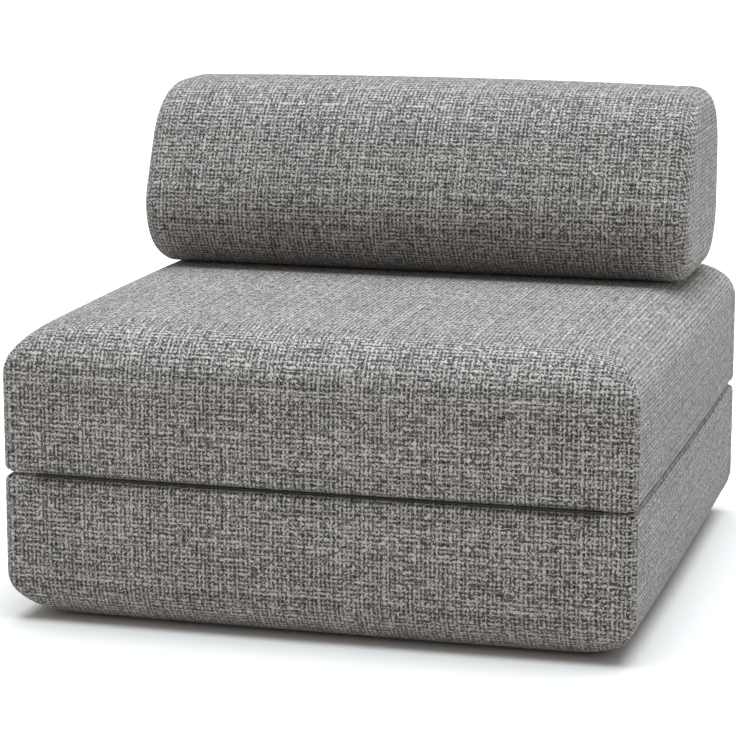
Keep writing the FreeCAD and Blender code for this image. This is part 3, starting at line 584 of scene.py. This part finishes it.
def swell(name, verts, faces, held):
    """How far each point of a cover moves when its stuffing presses it outwards.

    A remeshed copy is run as cloth under pressure, and its movement is read back.
    """
    source = mesh_object(name, verts, faces, cloth_weave)
    remesh = source.modifiers.new("even_grid", "REMESH")
    remesh.mode = "VOXEL"
    remesh.voxel_size = SIM_VOXEL * MM
    depsgraph = bpy.context.evaluated_depsgraph_get()
    even = bpy.data.meshes.new_from_object(source.evaluated_get(depsgraph))
    bpy.data.objects.remove(source)
    test = bpy.data.objects.new(name, even)
    bpy.context.scene.collection.objects.link(test)
    before = np.empty(len(even.vertices) * 3, np.float32)
    even.vertices.foreach_get("co", before)
    before = before.reshape(-1, 3).astype(float)
    weights = held(before / MM)
    group = test.vertex_groups.new(name="held")
    for level in range(1, 11):
        chosen = np.nonzero(np.round(weights * 10) == level)[0]
        group.add([int(i) for i in chosen], level / 10, "REPLACE")
    cloth = test.modifiers.new("pressure", "CLOTH")
    settings = cloth.settings
    settings.quality = 4
    settings.mass = 0.4
    settings.tension_stiffness = 18
    settings.compression_stiffness = 18
    settings.shear_stiffness = 8
    settings.bending_stiffness = 2
    settings.use_pressure = True
    settings.uniform_pressure_force = SIM_PRESSURE
    settings.vertex_group_mass = "held"
    settings.effector_weights.gravity = 0
    cloth.collision_settings.use_collision = False
    cloth.point_cache.frame_start = 1
    cloth.point_cache.frame_end = SIM_FRAMES
    for number in range(1, SIM_FRAMES + 1):
        bpy.context.scene.frame_set(number)
    depsgraph = bpy.context.evaluated_depsgraph_get()
    after = np.empty(len(before) * 3, np.float32)
    test.evaluated_get(depsgraph).data.vertices.foreach_get("co", after)
    after = after.reshape(-1, 3).astype(float)
    bpy.context.scene.frame_set(1)
    moved = (after - before) / MM
    length = np.linalg.norm(moved, axis=1, keepdims=True)
    moved *= SWELL_CAP * np.tanh(length / SWELL_CAP) / np.maximum(length, 1e-9)
    polygons = [tuple(face.vertices) for face in even.polygons]
    tree = BVHTree.FromPolygons([Vector(p) for p in before], polygons)
    result = np.zeros_like(verts)
    for number, point in enumerate(verts * MM):
        place, _, face, _ = tree.find_nearest(Vector(point))
        corners = list(polygons[face])
        weight = 1 / (np.linalg.norm(before[corners] - np.array(place), axis=1) + 0.4 * MM)
        result[number] = (moved[corners] * weight[:, None]).sum(0) / weight.sum()
    bpy.data.objects.remove(test)
    bpy.data.meshes.remove(even)
    return result


def seam_profile(distance, depth, width):
    """A stitched-in seam: a narrow valley between two slightly raised lips."""
    valley = -np.exp(-((distance / width) ** 2))
    lips = 0.3 * np.exp(-(((np.abs(distance) - 2.6 * width) / (1.4 * width)) ** 2))
    return depth * (valley + lips)


def ripple(along, pitch, seed):
    """Small uneven puckers along a seam, from -1 to 1."""
    return (
        np.sin(2 * math.pi * along / pitch + seed)
        + 0.6 * np.sin(2 * math.pi * along / (pitch * 0.61) + 2.1 * seed)
        + 0.5 * np.sin(2 * math.pi * along / (pitch * 2.7) + 0.7 * seed)
    ) / 2.1


def held_at_zip(points, rear, level, fade):
    """1 where a zip is sewn in, fading out above, below and past its ends."""
    x, y, z = points[:, 0], points[:, 1], points[:, 2]
    return (
        smooth_step(y, rear - 12, rear - 6)
        * (1 - smooth_step(np.abs(z - level), TAPE_REACH + 4, TAPE_REACH + 26))
        * (1 - smooth_step(np.abs(x), ZIP_HALF + 4, ZIP_HALF + fade))
    )


def zip_channel(rings, rear, level, fade):
    """Depth of the shallow channel in which a zip lies between two folded edges."""
    x = rings[..., 0]
    at_rear = rings[..., 1] > rear - 0.5
    across = np.abs(rings[..., 2] - level)
    inside = (1 - smooth_step(across, TAPE_REACH - 0.6, TAPE_REACH + 0.3)) * (
        1 - smooth_step(np.abs(x), ZIP_HALF - 1, ZIP_HALF + fade)
    )
    lip = np.exp(-(((across - TAPE_REACH - 1.2) / 0.9) ** 2)) * (
        1 - smooth_step(np.abs(x), ZIP_HALF, ZIP_HALF + 6)
    )
    return at_rear * (CHANNEL_LIP * lip - CHANNEL_DEPTH * inside)


def run_along(points):
    """Length run from the first point to each of the others."""
    return np.concatenate([[0], np.cumsum(np.linalg.norm(np.diff(points, axis=0), axis=1))])


def slab_held(points, height, contact):
    """How firmly each point of a slab's cover is held, 1 where it can't move."""
    x, y, z = points[:, 0], points[:, 1], points[:, 2]
    under = 1 - smooth_step(z, *UNDERSIDE_FADE)
    corner = np.hypot(np.abs(x) - SLAB_WIDTH / 2 + 4, np.abs(y) - SLAB_DEPTH / 2 + 4)
    sewn = 1 - smooth_step(corner, *CORNER_SEAM_FADE)
    at_zip = held_at_zip(points, SLAB_DEPTH / 2, ZIP_LEVEL, 30)
    resting = smooth_step(z, height - 5, height - 2) * contact(x, y)
    return np.maximum.reduce([under, sewn, at_zip, resting])


def slab_cloth(rows, rings, faces, verts):
    """Cloth coordinates in mm per face corner: the broad panel runs over its rounded edges."""
    count, around, _ = rings.shape
    steps = np.hypot(*np.diff(np.array(rows), axis=0).T)
    length = np.concatenate([np.cumsum(steps[::-1])[::-1], [0.0]])
    start = rings[-1]
    # past the rounding, the threads run level along the wall
    settle = 1 - smooth_step(length, 0, 100)
    middles = [start[SIDE_STATIONS * side + SIDE_STATIONS // 2] for side in range(4)]
    middle_x = [point[0] for point in middles]
    middle_y = [point[1] for point in middles]
    values = []
    wall_faces = (count - 1) * around
    for number, face in enumerate(faces):
        if number >= wall_faces:
            values += [(verts[corner][0], verts[corner][1], 0) for corner in face]
            continue
        side = number % around // SIDE_STATIONS
        for corner in face:
            row, column = divmod(corner, around)
            x, y = rings[row, column, :2]
            s = length[row]
            share = settle[row]
            from_y = start[column, 1] * share + middle_y[side] * (1 - share)
            from_x = start[column, 0] * share + middle_x[side] * (1 - share)
            if side == 0:
                values.append((x, from_y - s, 0))
            elif side == 2:
                values.append((x, from_y + s, 0))
            elif side == 1:
                values.append((from_x + s, y, 0))
            else:
                values.append((from_x - s, y, 0))
    return np.array(values)


def set_cloth(made, values):
    layer = made.data.attributes.new("cloth_mm", "FLOAT_VECTOR", "CORNER")
    layer.data.foreach_set("vector", np.asarray(values, np.float32).ravel())


def slab_cover(
    name, level, flipped, large_round, height, crown, contact, body, nodes, corner_swell
):
    rows = slab_rows(height, SEAM_ROUND, large_round, 0.0, (10, 18, 20))
    rings = slab_stack(rows, 0.0, SIDE_STATIONS, HALF_CORNER, corner_swell)
    verts, faces = closed_form(rings, SIDE_STATIONS)
    cloth = slab_cloth(rows, rings, faces, verts)
    if crown:
        run = SLAB_DEPTH / 2 - large_round
        share = smooth_step(verts[:, 2], height - large_round, height)
        verts[:, 2] -= share * crown * (verts[:, 1] / run) ** 2
    slack = WALL_SLACK + (TOP_SLACK - WALL_SLACK) * smooth_step(
        verts[:, 2], height - large_round, height - large_round / 3
    )

    def held(points):
        return slab_held(points, height, contact)

    form = verts
    verts = slackened(form, faces, held, slack)
    verts = verts + swell(name, verts, faces, held)
    verts = kept_full(form, verts, faces)
    # the opened bed's two fronts meet in a plane, so neither stands past it
    verts[:, 1] = np.maximum(verts[:, 1], FRONT_LIMIT)

    # seams: round the small edge, and up each corner until it fades into the broad panel
    normals = vertex_normals(verts, faces)
    count, around, _ = rings.shape
    level_of = np.array([row[1] for row in rows])
    depth = np.zeros((count, around))
    ring_run = run_along(rings[0])
    slope_run = np.cumsum(
        np.concatenate([[0], np.hypot(*np.diff(np.array(rows), axis=0).T)])
    )
    seam_run = np.interp(SEAM_LEVEL, level_of, slope_run)
    for row in range(count):
        pucker = 1 + 0.5 * ripple(ring_run, 17.0, 0.4)
        depth[row] += seam_profile(slope_run[row] - seam_run, *PANEL_SEAM) * pucker
    fade = 1 - smooth_step(level_of, height - large_round * 0.45, height - large_round * 0.1)
    fade *= smooth_step(level_of, 0.5, SEAM_LEVEL)
    for corner in range(4):
        centre = corner * SIDE_STATIONS
        for offset in range(-SEAM_COLUMNS, SEAM_COLUMNS + 1):
            column = (centre + offset) % around
            gap = np.linalg.norm(rings[:, column] - rings[:, centre], axis=1)
            pucker = 1 + 0.35 * ripple(level_of, 21.0, 1.3 * corner)
            depth[:, column] += seam_profile(gap, *CORNER_SEAM) * fade * pucker
    depth += zip_channel(rings, SLAB_DEPTH / 2, ZIP_LEVEL, 1)
    verts[: count * around] += normals[: count * around] * depth.reshape(-1, 1)

    if flipped:
        verts[:, 2] = height - verts[:, 2]
        faces = [face[::-1] for face in faces]
        cloth = cloth.reshape(-1, 4, 3)[:, ::-1].reshape(-1, 3)
    verts = verts + (0, SLAB_MIDDLE, level)
    made = mesh_object(name, verts, faces, cloth_weave)
    set_cloth(made, cloth)
    dressed(made, body, nodes)


def under_bolster(x, y):
    front = BOLSTER_MIDDLE - SLAB_MIDDLE - BOLSTER_DEPTH / 2
    return smooth_step(y, front, front + 60) * (1 - smooth_step(np.abs(x), 330, 350))


def whole_face(x, y):
    return np.ones_like(x)


slab_cover(
    "seat_cover",
    SEAT_LEVEL,
    False,
    SEAT_ROUND,
    SEAT_HEIGHT,
    START_CROWN,
    under_bolster,
    "seat_cushion",
    ["seat_cover_shell", "seat_cover_base_panel"],
    SEAT_CORNER_SWELL,
)
slab_cover(
    "lower_cover",
    GRIP_WALL,
    True,
    LOWER_ROUND,
    LOWER_TOP - GRIP_WALL,
    0,
    whole_face,
    "lower_cushion",
    ["lower_cover_shell", "lower_cover_top_panel"],
    LOWER_CORNER_SWELL,
)


def loaf_ring(shrink, squeeze, n, half_corner):
    """The bolster's section, seen from the left, as (y, z) from the front low corner."""
    front = squeeze - BOLSTER_DEPTH / 2
    rear = BOLSTER_DEPTH / 2
    top = BOLSTER_HEIGHT - squeeze
    corners = [
        (front + FRONT_LOW, FRONT_LOW, FRONT_LOW - shrink),
        (rear - REAR_LOW, REAR_LOW, REAR_LOW - shrink),
        (rear - REAR_TOP, top - REAR_TOP, REAR_TOP - shrink),
        (front + FRONT_LEAN + FRONT_TOP, top - FRONT_TOP, FRONT_TOP - shrink),
    ]
    normals = []
    for one, other in zip(corners, corners[1:] + corners[:1]):
        run = (other[0] - one[0], other[1] - one[1])
        turn = math.acos((one[2] - other[2]) / math.hypot(*run))
        normals.append(math.atan2(run[1], run[0]) - turn)
    points = []
    straight = n - 2 * half_corner
    for index, (across, up, radius) in enumerate(corners):
        before = normals[index - 1]
        after = normals[index]
        while after < before:
            after += 2 * math.pi
        shares = np.linspace(0, 1, 2 * half_corner + 1)
        whole = arc_points((across, up), radius, before, after, shares)
        following = corners[(index + 1) % 4]
        aim = np.array([math.cos(after), math.sin(after)])
        meet = np.array(following[:2]) + following[2] * aim
        along = np.linspace(0, 1, straight + 1)
        if index == 1 and straight > 24:
            # the rear wall: stations at the zip's two edges
            run = meet[1] - whole[-1][1]
            marks = sorted((m - whole[-1][1]) / run for m in zip_edge_marks(BOLSTER_ZIP))
            free = straight + 1 - len(marks)
            along = np.concatenate([np.linspace(0, 1, free), marks])
            along.sort()
        flat = whole[-1] + (meet - whole[-1]) * along[:, None]
        points += [whole[:-1], flat[:-1]]
    ring = np.concatenate(points)
    return np.roll(ring, -half_corner, axis=0)


def loaf_stack(shrink, end_rows, barrel_rows, n, half_corner, squeeze):
    half = BOLSTER_LENGTH / 2 - shrink
    radius = END_ROUND - shrink
    stations = []
    for step in range(end_rows + 1):
        angle = math.pi / 2 * step / end_rows
        stations.append((half - radius * (1 - math.cos(angle)), radius * (1 - math.sin(angle))))
    barrel = (1 - spread(2 * barrel_rows, 0.4)[1 : barrel_rows + 1] * 2) * (half - radius)
    stations += [(x, 0.0) for x in barrel]
    stations += [(-x, setback) for x, setback in stations[-2::-1]]
    rings = []
    for x, setback in stations:
        share = min(1.0, abs(x) / (half - radius))
        ring = loaf_ring(shrink + setback, squeeze * share**2, n, half_corner)
        rings.append(np.column_stack([np.full(len(ring), x), ring]))
    return np.array(rings)


def loaf_form(rings, n):
    verts, faces = closed_form(rings[..., [1, 2, 0]], n)
    return verts[:, [2, 0, 1]], [face[::-1] for face in faces]


def loaf_held(points):
    from_seam = np.abs(np.abs(points[:, 0]) - BOLSTER_LENGTH / 2 + END_SEAM)
    foot = 1 - smooth_step(points[:, 2], *LOAF_FOOT_FADE)
    seam = 1 - smooth_step(from_seam, *END_SEAM_FADE)
    at_zip = held_at_zip(points, BOLSTER_DEPTH / 2, BOLSTER_ZIP, 20)
    return np.maximum.reduce([foot, END_SEAM_HOLD * seam, at_zip])


# The end panels' cloth coordinates lie apart from those of the wrap
END_CLOTH_SHIFT = 900
END_CLOTH_FROM = 600


def make_bolster_cover():
    n = LOAF_STATIONS
    rings = loaf_stack(0.0, 14, 44, n, LOAF_HALF_CORNER, START_SQUEEZE)
    verts, faces = loaf_form(rings, n)
    count, around, _ = rings.shape
    middle = rings[count // 2]
    girth = run_along(middle)
    full = girth[-1] + np.linalg.norm(middle[0] - middle[-1])
    cloth = []
    wall_faces = (count - 1) * around
    for number, face in enumerate(faces):
        last = number % around == around - 1
        for corner in face:
            x, y, z = verts[corner]
            if number < wall_faces and abs(x) < BOLSTER_LENGTH / 2 - END_SEAM + 0.1:
                column = corner % around
                cloth.append((x, full if last and column == 0 else girth[column], 0))
            else:
                cloth.append((y + END_CLOTH_SHIFT, z, 0))
    # a face that lies across both sets of coordinates takes the end panel's
    cloth = np.array(cloth).reshape(-1, 4, 3)
    on_end = cloth[..., 0] > END_CLOTH_FROM
    for number in np.nonzero(on_end.any(axis=1) & ~on_end.all(axis=1))[0]:
        cloth[number] = [(verts[c][1] + END_CLOTH_SHIFT, verts[c][2], 0) for c in faces[number]]
    at_end = smooth_step(np.abs(verts[:, 0]), BOLSTER_LENGTH / 2 - END_ROUND, BOLSTER_LENGTH / 2)
    slack = BARREL_SLACK + (END_SLACK - BARREL_SLACK) * at_end
    form = verts
    verts = slackened(form, faces, loaf_held, slack)
    verts = verts + swell("bolster_cover", verts, faces, loaf_held)
    verts = kept_full(form, verts, faces)
    normals = vertex_normals(verts, faces)
    station_x = rings[:, 0, 0]
    run = run_along(rings[:, 10])
    depth = np.zeros((count, around))
    for side in (-1, 1):
        order = np.argsort(station_x)
        seam = np.interp(side * (BOLSTER_LENGTH / 2 - END_SEAM), station_x[order], run[order])
        pucker = 1 + 0.5 * ripple(girth, 19.0, 0.9 + side)
        depth += seam_profile(run - seam, *BOLSTER_SEAM)[:, None] * pucker
    depth += zip_channel(rings, BOLSTER_DEPTH / 2, BOLSTER_ZIP, 3)
    verts[: count * around] += normals[: count * around] * depth.reshape(-1, 1)
    verts = verts + (0, BOLSTER_MIDDLE, BOLSTER_LEVEL)
    made = mesh_object("bolster_cover", verts, faces, cloth_weave)
    set_cloth(made, cloth.reshape(-1, 3))
    dressed(
        made,
        "back_bolster",
        ["bolster_cover_wrap", "bolster_left_end_panel", "bolster_right_end_panel"],
    )


make_bolster_cover()


def foam_block(name, verts, faces, shift, body, node):
    made = mesh_object(name, verts + shift, faces, foam_finish)
    dressed(made, body, [node])


FOAM_SHRINK = 9.0
for prefix, height, large, level, flipped, body in (
    ("seat", SEAT_HEIGHT, SEAT_ROUND, SEAT_LEVEL, False, "seat_cushion"),
    ("lower", LOWER_TOP - GRIP_WALL, LOWER_ROUND, GRIP_WALL, True, "lower_cushion"),
):
    rows = slab_rows(height, SEAM_ROUND, large, FOAM_SHRINK, (3, 8, 6), False)
    stack = slab_stack(rows, FOAM_SHRINK, 24, 4, SEAT_CORNER_SWELL)
    verts, faces = closed_form(stack, 24)
    if flipped:
        verts[:, 2] = height - verts[:, 2]
        faces = [face[::-1] for face in faces]
    foam_block(
        f"{prefix}_foam_block", verts, faces, (0, SLAB_MIDDLE, level), body, f"{prefix}_foam_core"
    )
stack = loaf_stack(FOAM_SHRINK, 3, 8, 24, 6, START_SQUEEZE)
verts, faces = loaf_form(stack, 24)
foam_block(
    "bolster_foam_block",
    verts,
    faces,
    (0, BOLSTER_MIDDLE, BOLSTER_LEVEL),
    "back_bolster",
    "bolster_foam_core",
)


# Flat cloth: the hinges' tapes and strips, and the zips' tapes
THIN_EDGE = 0.45


def thin_sheet(name, middle, lift, wall, finish):
    """A sheet of the given wall round a grid of middle points, thinner at its edges."""
    nx, ny = middle.shape[0] - 1, middle.shape[1] - 1
    lift = np.array(lift, float)
    edge = np.full((nx + 1, ny + 1), 1.0)
    edge[0] = edge[-1] = edge[:, 0] = edge[:, -1] = THIN_EDGE
    offset = edge[..., None] * lift * wall / 2
    verts = np.concatenate([(middle + offset).reshape(-1, 3), (middle - offset).reshape(-1, 3)])
    index = np.arange((nx + 1) * (ny + 1)).reshape(nx + 1, ny + 1)
    below = index + index.size
    normal = np.cross(middle[-1, 0] - middle[0, 0], middle[0, -1] - middle[0, 0])
    up = float(normal @ lift) > 0
    faces = []
    for i in range(nx):
        for j in range(ny):
            quad = (index[i, j], index[i + 1, j], index[i + 1, j + 1], index[i, j + 1])
            under = (below[i, j], below[i, j + 1], below[i + 1, j + 1], below[i + 1, j])
            faces += [quad if up else quad[::-1], under if up else under[::-1]]
    rim = [*index[:, 0], *index[-1, 1:], *index[-2::-1, -1], *index[0, -2:0:-1]]
    for one, other in zip(rim, rim[1:] + rim[:1]):
        quad = (one, one + index.size, other + index.size, other)
        faces.append(quad if up else quad[::-1])
    made = mesh_object(name, verts, faces, finish)
    set_cloth(made, [verts[corner] for face in faces for corner in face])
    return made


def stitch_row(points, direction, out, length=3.0, radius=0.32):
    """Vertices and faces of a row of thread stitches that lie along a direction."""
    along = np.array(direction, float)
    out = np.array(out, float)
    side = np.cross(along, out)
    verts = []
    faces = []
    shares = ((-1.0, 0.35), (-0.6, 1.0), (0.6, 1.0), (1.0, 0.35))
    for point in points:
        base = len(verts)
        for step, size in shares:
            lifted = np.array(point) + along * step * length / 2 + out * radius * (size - 1)
            for turn in range(6):
                angle = turn * math.pi / 3
                ring = math.cos(angle) * side + math.sin(angle) * out
                verts.append(lifted + ring * radius * size)
        for row in range(3):
            for turn in range(6):
                a = base + row * 6 + turn
                b = base + row * 6 + (turn + 1) % 6
                faces.append((a, b, b + 6, a + 6))
        faces.append(tuple(base + turn for turn in reversed(range(6))))
        faces.append(tuple(base + 18 + turn for turn in range(6)))
    return verts, faces


def stitches(name, rows, body):
    verts = []
    faces = []
    for row_verts, row_faces in rows:
        base = len(verts)
        verts += row_verts
        faces += [tuple(corner + base for corner in face) for face in row_faces]
    made = mesh_object(name, verts, faces, thread_finish)
    dressed(made, body)


# Stitch spacing, and the front tapes and rear strips with their walls, in mm
STITCH_PITCH = 4.5
STRIP_THREAD = 0.12
FRONT_TAPE_HALF = 320
FRONT_TAPE_SPAN = (0.6, 12.2)
FRONT_TAPE_LIFT = 0.375
FRONT_TAPE_WALL = 0.45
REAR_STRIP_HALF = 310
REAR_STRIP_START = 0.2
REAR_STRIP_END = 244.6
REAR_STRIP_LIFT = 0.65
REAR_STRIP_WALL = 0.9


def hinge_strip(name, x_half, near_y, far_y, level, wall, finish, body, node):
    """One sewn half of a fabric hinge, from near its fold line to its far edge."""
    x = np.linspace(-x_half, x_half, 161)
    y = near_y + (far_y - near_y) * spread(12, 0.3)
    gx, gy = np.meshgrid(x, y, indexing="ij")
    gz = level + 0.03 * np.sin(gx / 23.0) * np.cos(gy / 11.0)
    made = thin_sheet(name, np.stack([gx, gy, gz], axis=-1), (0, 0, 1), wall, finish)
    dressed(made, body, [node])


front_y, front_z = FRONT_FOLD
rear_y, rear_z = REAR_FOLD
for name, side, body in (("lower", -1, "lower_cushion"), ("seat", 1, "seat_cushion")):
    hinge_strip(
        f"front_hinge_tape_{name}",
        FRONT_TAPE_HALF,
        front_y + FRONT_TAPE_SPAN[0],
        front_y + FRONT_TAPE_SPAN[1],
        front_z + side * FRONT_TAPE_LIFT,
        FRONT_TAPE_WALL,
        hinge_tape_painted_shade,
        body,
        f"front_hinge_strip_{name}",
    )
for name, side, body, carrier in (
    ("seat", -1, "seat_cushion", "seat_cover"),
    ("bolster", 1, "back_bolster", "bolster_cover"),
):
    level = rear_z + side * REAR_STRIP_LIFT
    hinge_strip(
        f"rear_hinge_strip_of_{name}",
        REAR_STRIP_HALF,
        rear_y - REAR_STRIP_START,
        REAR_STRIP_END,
        level,
        REAR_STRIP_WALL,
        cloth_weave,
        body,
        f"rear_hinge_strip_{name}",
    )
    points = [
        (x, rear_y - 4.5, level + side * REAR_STRIP_WALL / 2)
        for x in np.arange(-306, 306.1, STITCH_PITCH)
    ]
    row = stitch_row(points, (1, 0, 0), (0, 0, side), 3.0, STRIP_THREAD)
    stitches(f"{name}_strip_stitches", [row], body)


# Zips: two herringbone tapes, two rows of wound nylon, and the stitching beside them
SLOT = 0.6
TAPE_LOW = -2.0
TAPE_WALL = 0.8
COIL_WIDTH = 2.4
COIL_HEIGHT = 1.6
COIL_PITCH = 1.6
WIRE = 0.32
STOP_LENGTH = 2.5
TAPE_SHEET = 0.6
COVER_STITCH_OUT = 4.0
TAPE_STITCH_OUT = 4.6
TAPE_STITCH_PITCH = 3.0


def wound_row(centre_across, centre_out, half_length):
    """One row of teeth: a wire wound along X, as vertices (x, across, out) and faces."""
    turns = int(2 * half_length / COIL_PITCH)
    steps = turns * 8 + 1
    t = np.arange(steps) / 8
    x = -half_length + WIRE + (2 * half_length - 2 * WIRE) * t / turns
    angle = 2 * math.pi * t
    wide = COIL_WIDTH / 2 - WIRE
    high = COIL_HEIGHT / 2 - WIRE
    path = np.stack(
        [x, centre_across + wide * np.cos(angle), centre_out + high * np.sin(angle)], axis=1
    )
    tangent = np.gradient(path, axis=0)
    tangent /= np.linalg.norm(tangent, axis=1, keepdims=True)
    first = np.cross(tangent, (1.0, 0.0, 0.0))
    first /= np.linalg.norm(first, axis=1, keepdims=True)
    second = np.cross(tangent, first)
    rings = []
    for turn in range(4):
        a = turn * math.pi / 2
        rings.append(path + WIRE * (math.cos(a) * first + math.sin(a) * second))
    verts = np.stack(rings, axis=1).reshape(-1, 3)
    faces = []
    for i in range(steps - 1):
        for turn in range(4):
            a = 4 * i + turn
            b = 4 * i + (turn + 1) % 4
            faces.append((a, b, b + 4, a + 4))
    faces.append((3, 2, 1, 0))
    last = 4 * (steps - 1)
    faces.append((last, last + 1, last + 2, last + 3))
    return verts, faces


def zip_cloth_and_coil(prefix, face_y, line_z, body):
    for word, side in (("lower", -1), ("upper", 1)):
        x = np.linspace(-ZIP_HALF, ZIP_HALF, 121)
        across = line_z + side * np.linspace(SLOT, TAPE_REACH, 7)
        gx, gz = np.meshgrid(x, across, indexing="ij")
        gy = face_y + TAPE_LOW + TAPE_WALL / 2 + 0.08 * np.sin(gx / 31.0)
        made = thin_sheet(
            f"{prefix}_zip_tape_{word}",
            np.stack([gx, gy, gz], axis=-1),
            (0, 1, 0),
            TAPE_SHEET,
            zip_cloth,
        )
        nodes = [f"{prefix}_zip_tapes"] if side > 0 else []
        dressed(made, body, nodes)
    verts = []
    faces = []
    for side in (-1, 1):
        row, row_faces = wound_row(
            side * (SLOT + COIL_WIDTH / 2),
            TAPE_LOW + TAPE_WALL + COIL_HEIGHT / 2,
            ZIP_HALF - STOP_LENGTH,
        )
        base = len(verts)
        verts += [(x, face_y + out, line_z + across) for x, across, out in row]
        faces += [tuple(corner + base for corner in face)[::-1] for face in row_faces]
    coil = mesh_object(f"{prefix}_zip_wound_coil", verts, faces, nylon)
    dressed(coil, body, [f"{prefix}_zip_coil"])
    rows = []
    for side in (-1, 1):
        spots = [
            (x, face_y + 0.12, line_z + side * (TAPE_REACH + COVER_STITCH_OUT))
            for x in np.arange(-ZIP_HALF - 2, ZIP_HALF + 2.1, STITCH_PITCH)
        ]
        rows.append(stitch_row(spots, (1, 0, 0), (0, 1, 0)))
        spots = [
            (x, face_y + TAPE_LOW + TAPE_WALL - 0.05, line_z + side * TAPE_STITCH_OUT)
            for x in np.arange(-ZIP_HALF + 6, ZIP_HALF - 5.9, TAPE_STITCH_PITCH)
        ]
        rows.append(stitch_row(spots, (1, 0, 0), (0, 1, 0), 2.2, 0.2))
    stitches(f"{prefix}_zip_stitches", rows, body)


SLAB_REAR = SLAB_MIDDLE + SLAB_DEPTH / 2
BOLSTER_REAR = BOLSTER_MIDDLE + BOLSTER_DEPTH / 2
zip_cloth_and_coil("lower", SLAB_REAR, LOWER_TOP - ZIP_LEVEL, "lower_cushion")
zip_cloth_and_coil("seat", SLAB_REAR, SEAT_LEVEL + ZIP_LEVEL, "seat_cushion")
zip_cloth_and_coil("bolster", BOLSTER_REAR, BOLSTER_LEVEL + BOLSTER_ZIP, "back_bolster")


# Felt below the lower cushion, with its printed dots
DOT_RISE = 0.3
DOT_PITCH = 12
DOT_RADIUS = 2.6
DOT_MARGIN = 8
ROW_SHARE = 0.866
felt_rows = (
    (GRIP_INSET + 0.4, DOT_RISE),
    (GRIP_INSET, DOT_RISE + 0.2),
    (GRIP_INSET, GRIP_WALL - 0.2),
    (GRIP_INSET + 0.4, GRIP_WALL),
)
felt_rings = []
for inset, level in felt_rows:
    ring = slab_ring(inset, CORNER_RADIUS, 48, 4)
    felt_rings.append(np.column_stack([ring, np.full(len(ring), level)]))
verts, faces = closed_form(np.array(felt_rings), 48)
felt = mesh_object("lower_grip_felt", verts + (0, SLAB_MIDDLE, 0), faces, grip_finish)
dressed(felt, "lower_cushion", ["lower_grip_sheet"])
GRIP_WIDTH = SLAB_WIDTH - 2 * GRIP_INSET
GRIP_DEPTH = SLAB_DEPTH - 2 * GRIP_INSET
verts = []
faces = []
rows = int((GRIP_DEPTH / 2 - DOT_MARGIN) / (DOT_PITCH * ROW_SHARE))
for row in range(-rows, rows + 1):
    y = row * DOT_PITCH * ROW_SHARE
    start = (row % 2) * DOT_PITCH / 2
    count = int((GRIP_WIDTH / 2 - DOT_MARGIN) / DOT_PITCH)
    for column in range(-count, count):
        base = len(verts)
        for level, size in ((DOT_RISE + 0.1, 1.0), (0.12, 0.85), (0.0, 0.45)):
            for turn in range(8):
                angle = turn * math.pi / 4
                verts.append(
                    (
                        start + column * DOT_PITCH + DOT_RADIUS * size * math.cos(angle),
                        SLAB_MIDDLE + y + DOT_RADIUS * size * math.sin(angle),
                        level,
                    )
                )
        for ring in range(2):
            for turn in range(8):
                a = base + ring * 8 + turn
                b = base + ring * 8 + (turn + 1) % 8
                faces.append((a + 8, b + 8, b, a))
        faces.append(tuple(base + turn for turn in range(8)))
        faces.append(tuple(base + 16 + turn for turn in reversed(range(8))))
dots = mesh_object("lower_grip_dots", verts, faces, dot_finish)
dressed(dots, "lower_cushion")

# The zips' stops, sliders and pullers are rigid, so they keep the solids' shape
for name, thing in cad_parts.items():
    if name.endswith(("zip_stops", "zip_slider", "zip_puller")):
        thing.data.materials.clear()
        thing.data.materials.append(zip_metal)

# Studio floor: board painted matt, a warm light grey without any gloss, so that it
# shows nothing but a soft shadow
floor_finish, _, _ = material(
    "matt_studio_floor", Base_Color=linear("#CECBC8"), Roughness=1.0, Specular_IOR_Level=0.0
)
FLOOR_REACH = 90000
floor = mesh_object(
    "studio_floor",
    [(x * FLOOR_REACH, y * FLOOR_REACH, 0) for x, y in ((-1, -1), (1, -1), (1, 1), (-1, 1))],
    [(0, 1, 2, 3)],
    floor_finish,
)

# Even light from all round, a broad light from above and a faint one from the right
world = bpy.data.worlds.new("studio_air")
world.use_nodes = True
bpy.context.scene.world = world
air = world.node_tree.nodes["Background"]
air.inputs["Color"].default_value = (1.0, 0.97, 0.95, 1.0)
air.inputs["Strength"].default_value = 0.63

sun_data = bpy.data.lights.new("overhead_light", "SUN")
sun_data.energy = 5.35
sun_data.angle = math.radians(55)
sun_data.color = (0.905, 1.005, 1.08)
sun = bpy.data.objects.new("overhead_light", sun_data)
sun.rotation_euler = Vector((0.04, 0.03, 1.0)).to_track_quat("Z", "Y").to_euler()
bpy.context.scene.collection.objects.link(sun)

fill_data = bpy.data.lights.new("right_softbox", "AREA")
fill_data.shape = "RECTANGLE"
fill_data.size = 2.0
fill_data.size_y = 1.6
fill_data.energy = 1.5
fill = bpy.data.objects.new("right_softbox", fill_data)
fill.location = (3.2, 0.2, 1.4)
aim = Vector((0, 0, 0.3)) - Vector(fill.location)
fill.rotation_euler = aim.to_track_quat("-Z", "Y").to_euler()
bpy.context.scene.collection.objects.link(fill)

# The camera that was fitted to the photograph's outlines
camera_data = bpy.data.cameras.new("product_camera")
camera_data.lens = 133.3
camera_data.sensor_width = 36
camera_data.clip_end = 300
camera = bpy.data.objects.new("product_camera", camera_data)
camera.location = (0.8229, -3.1134, 0.8849)
camera.rotation_euler = (math.radians(90 - 11.342), 0.0, math.radians(15.416))
bpy.context.scene.collection.objects.link(camera)
bpy.context.scene.camera = camera
bpy.context.scene.view_settings.view_transform = "Standard"
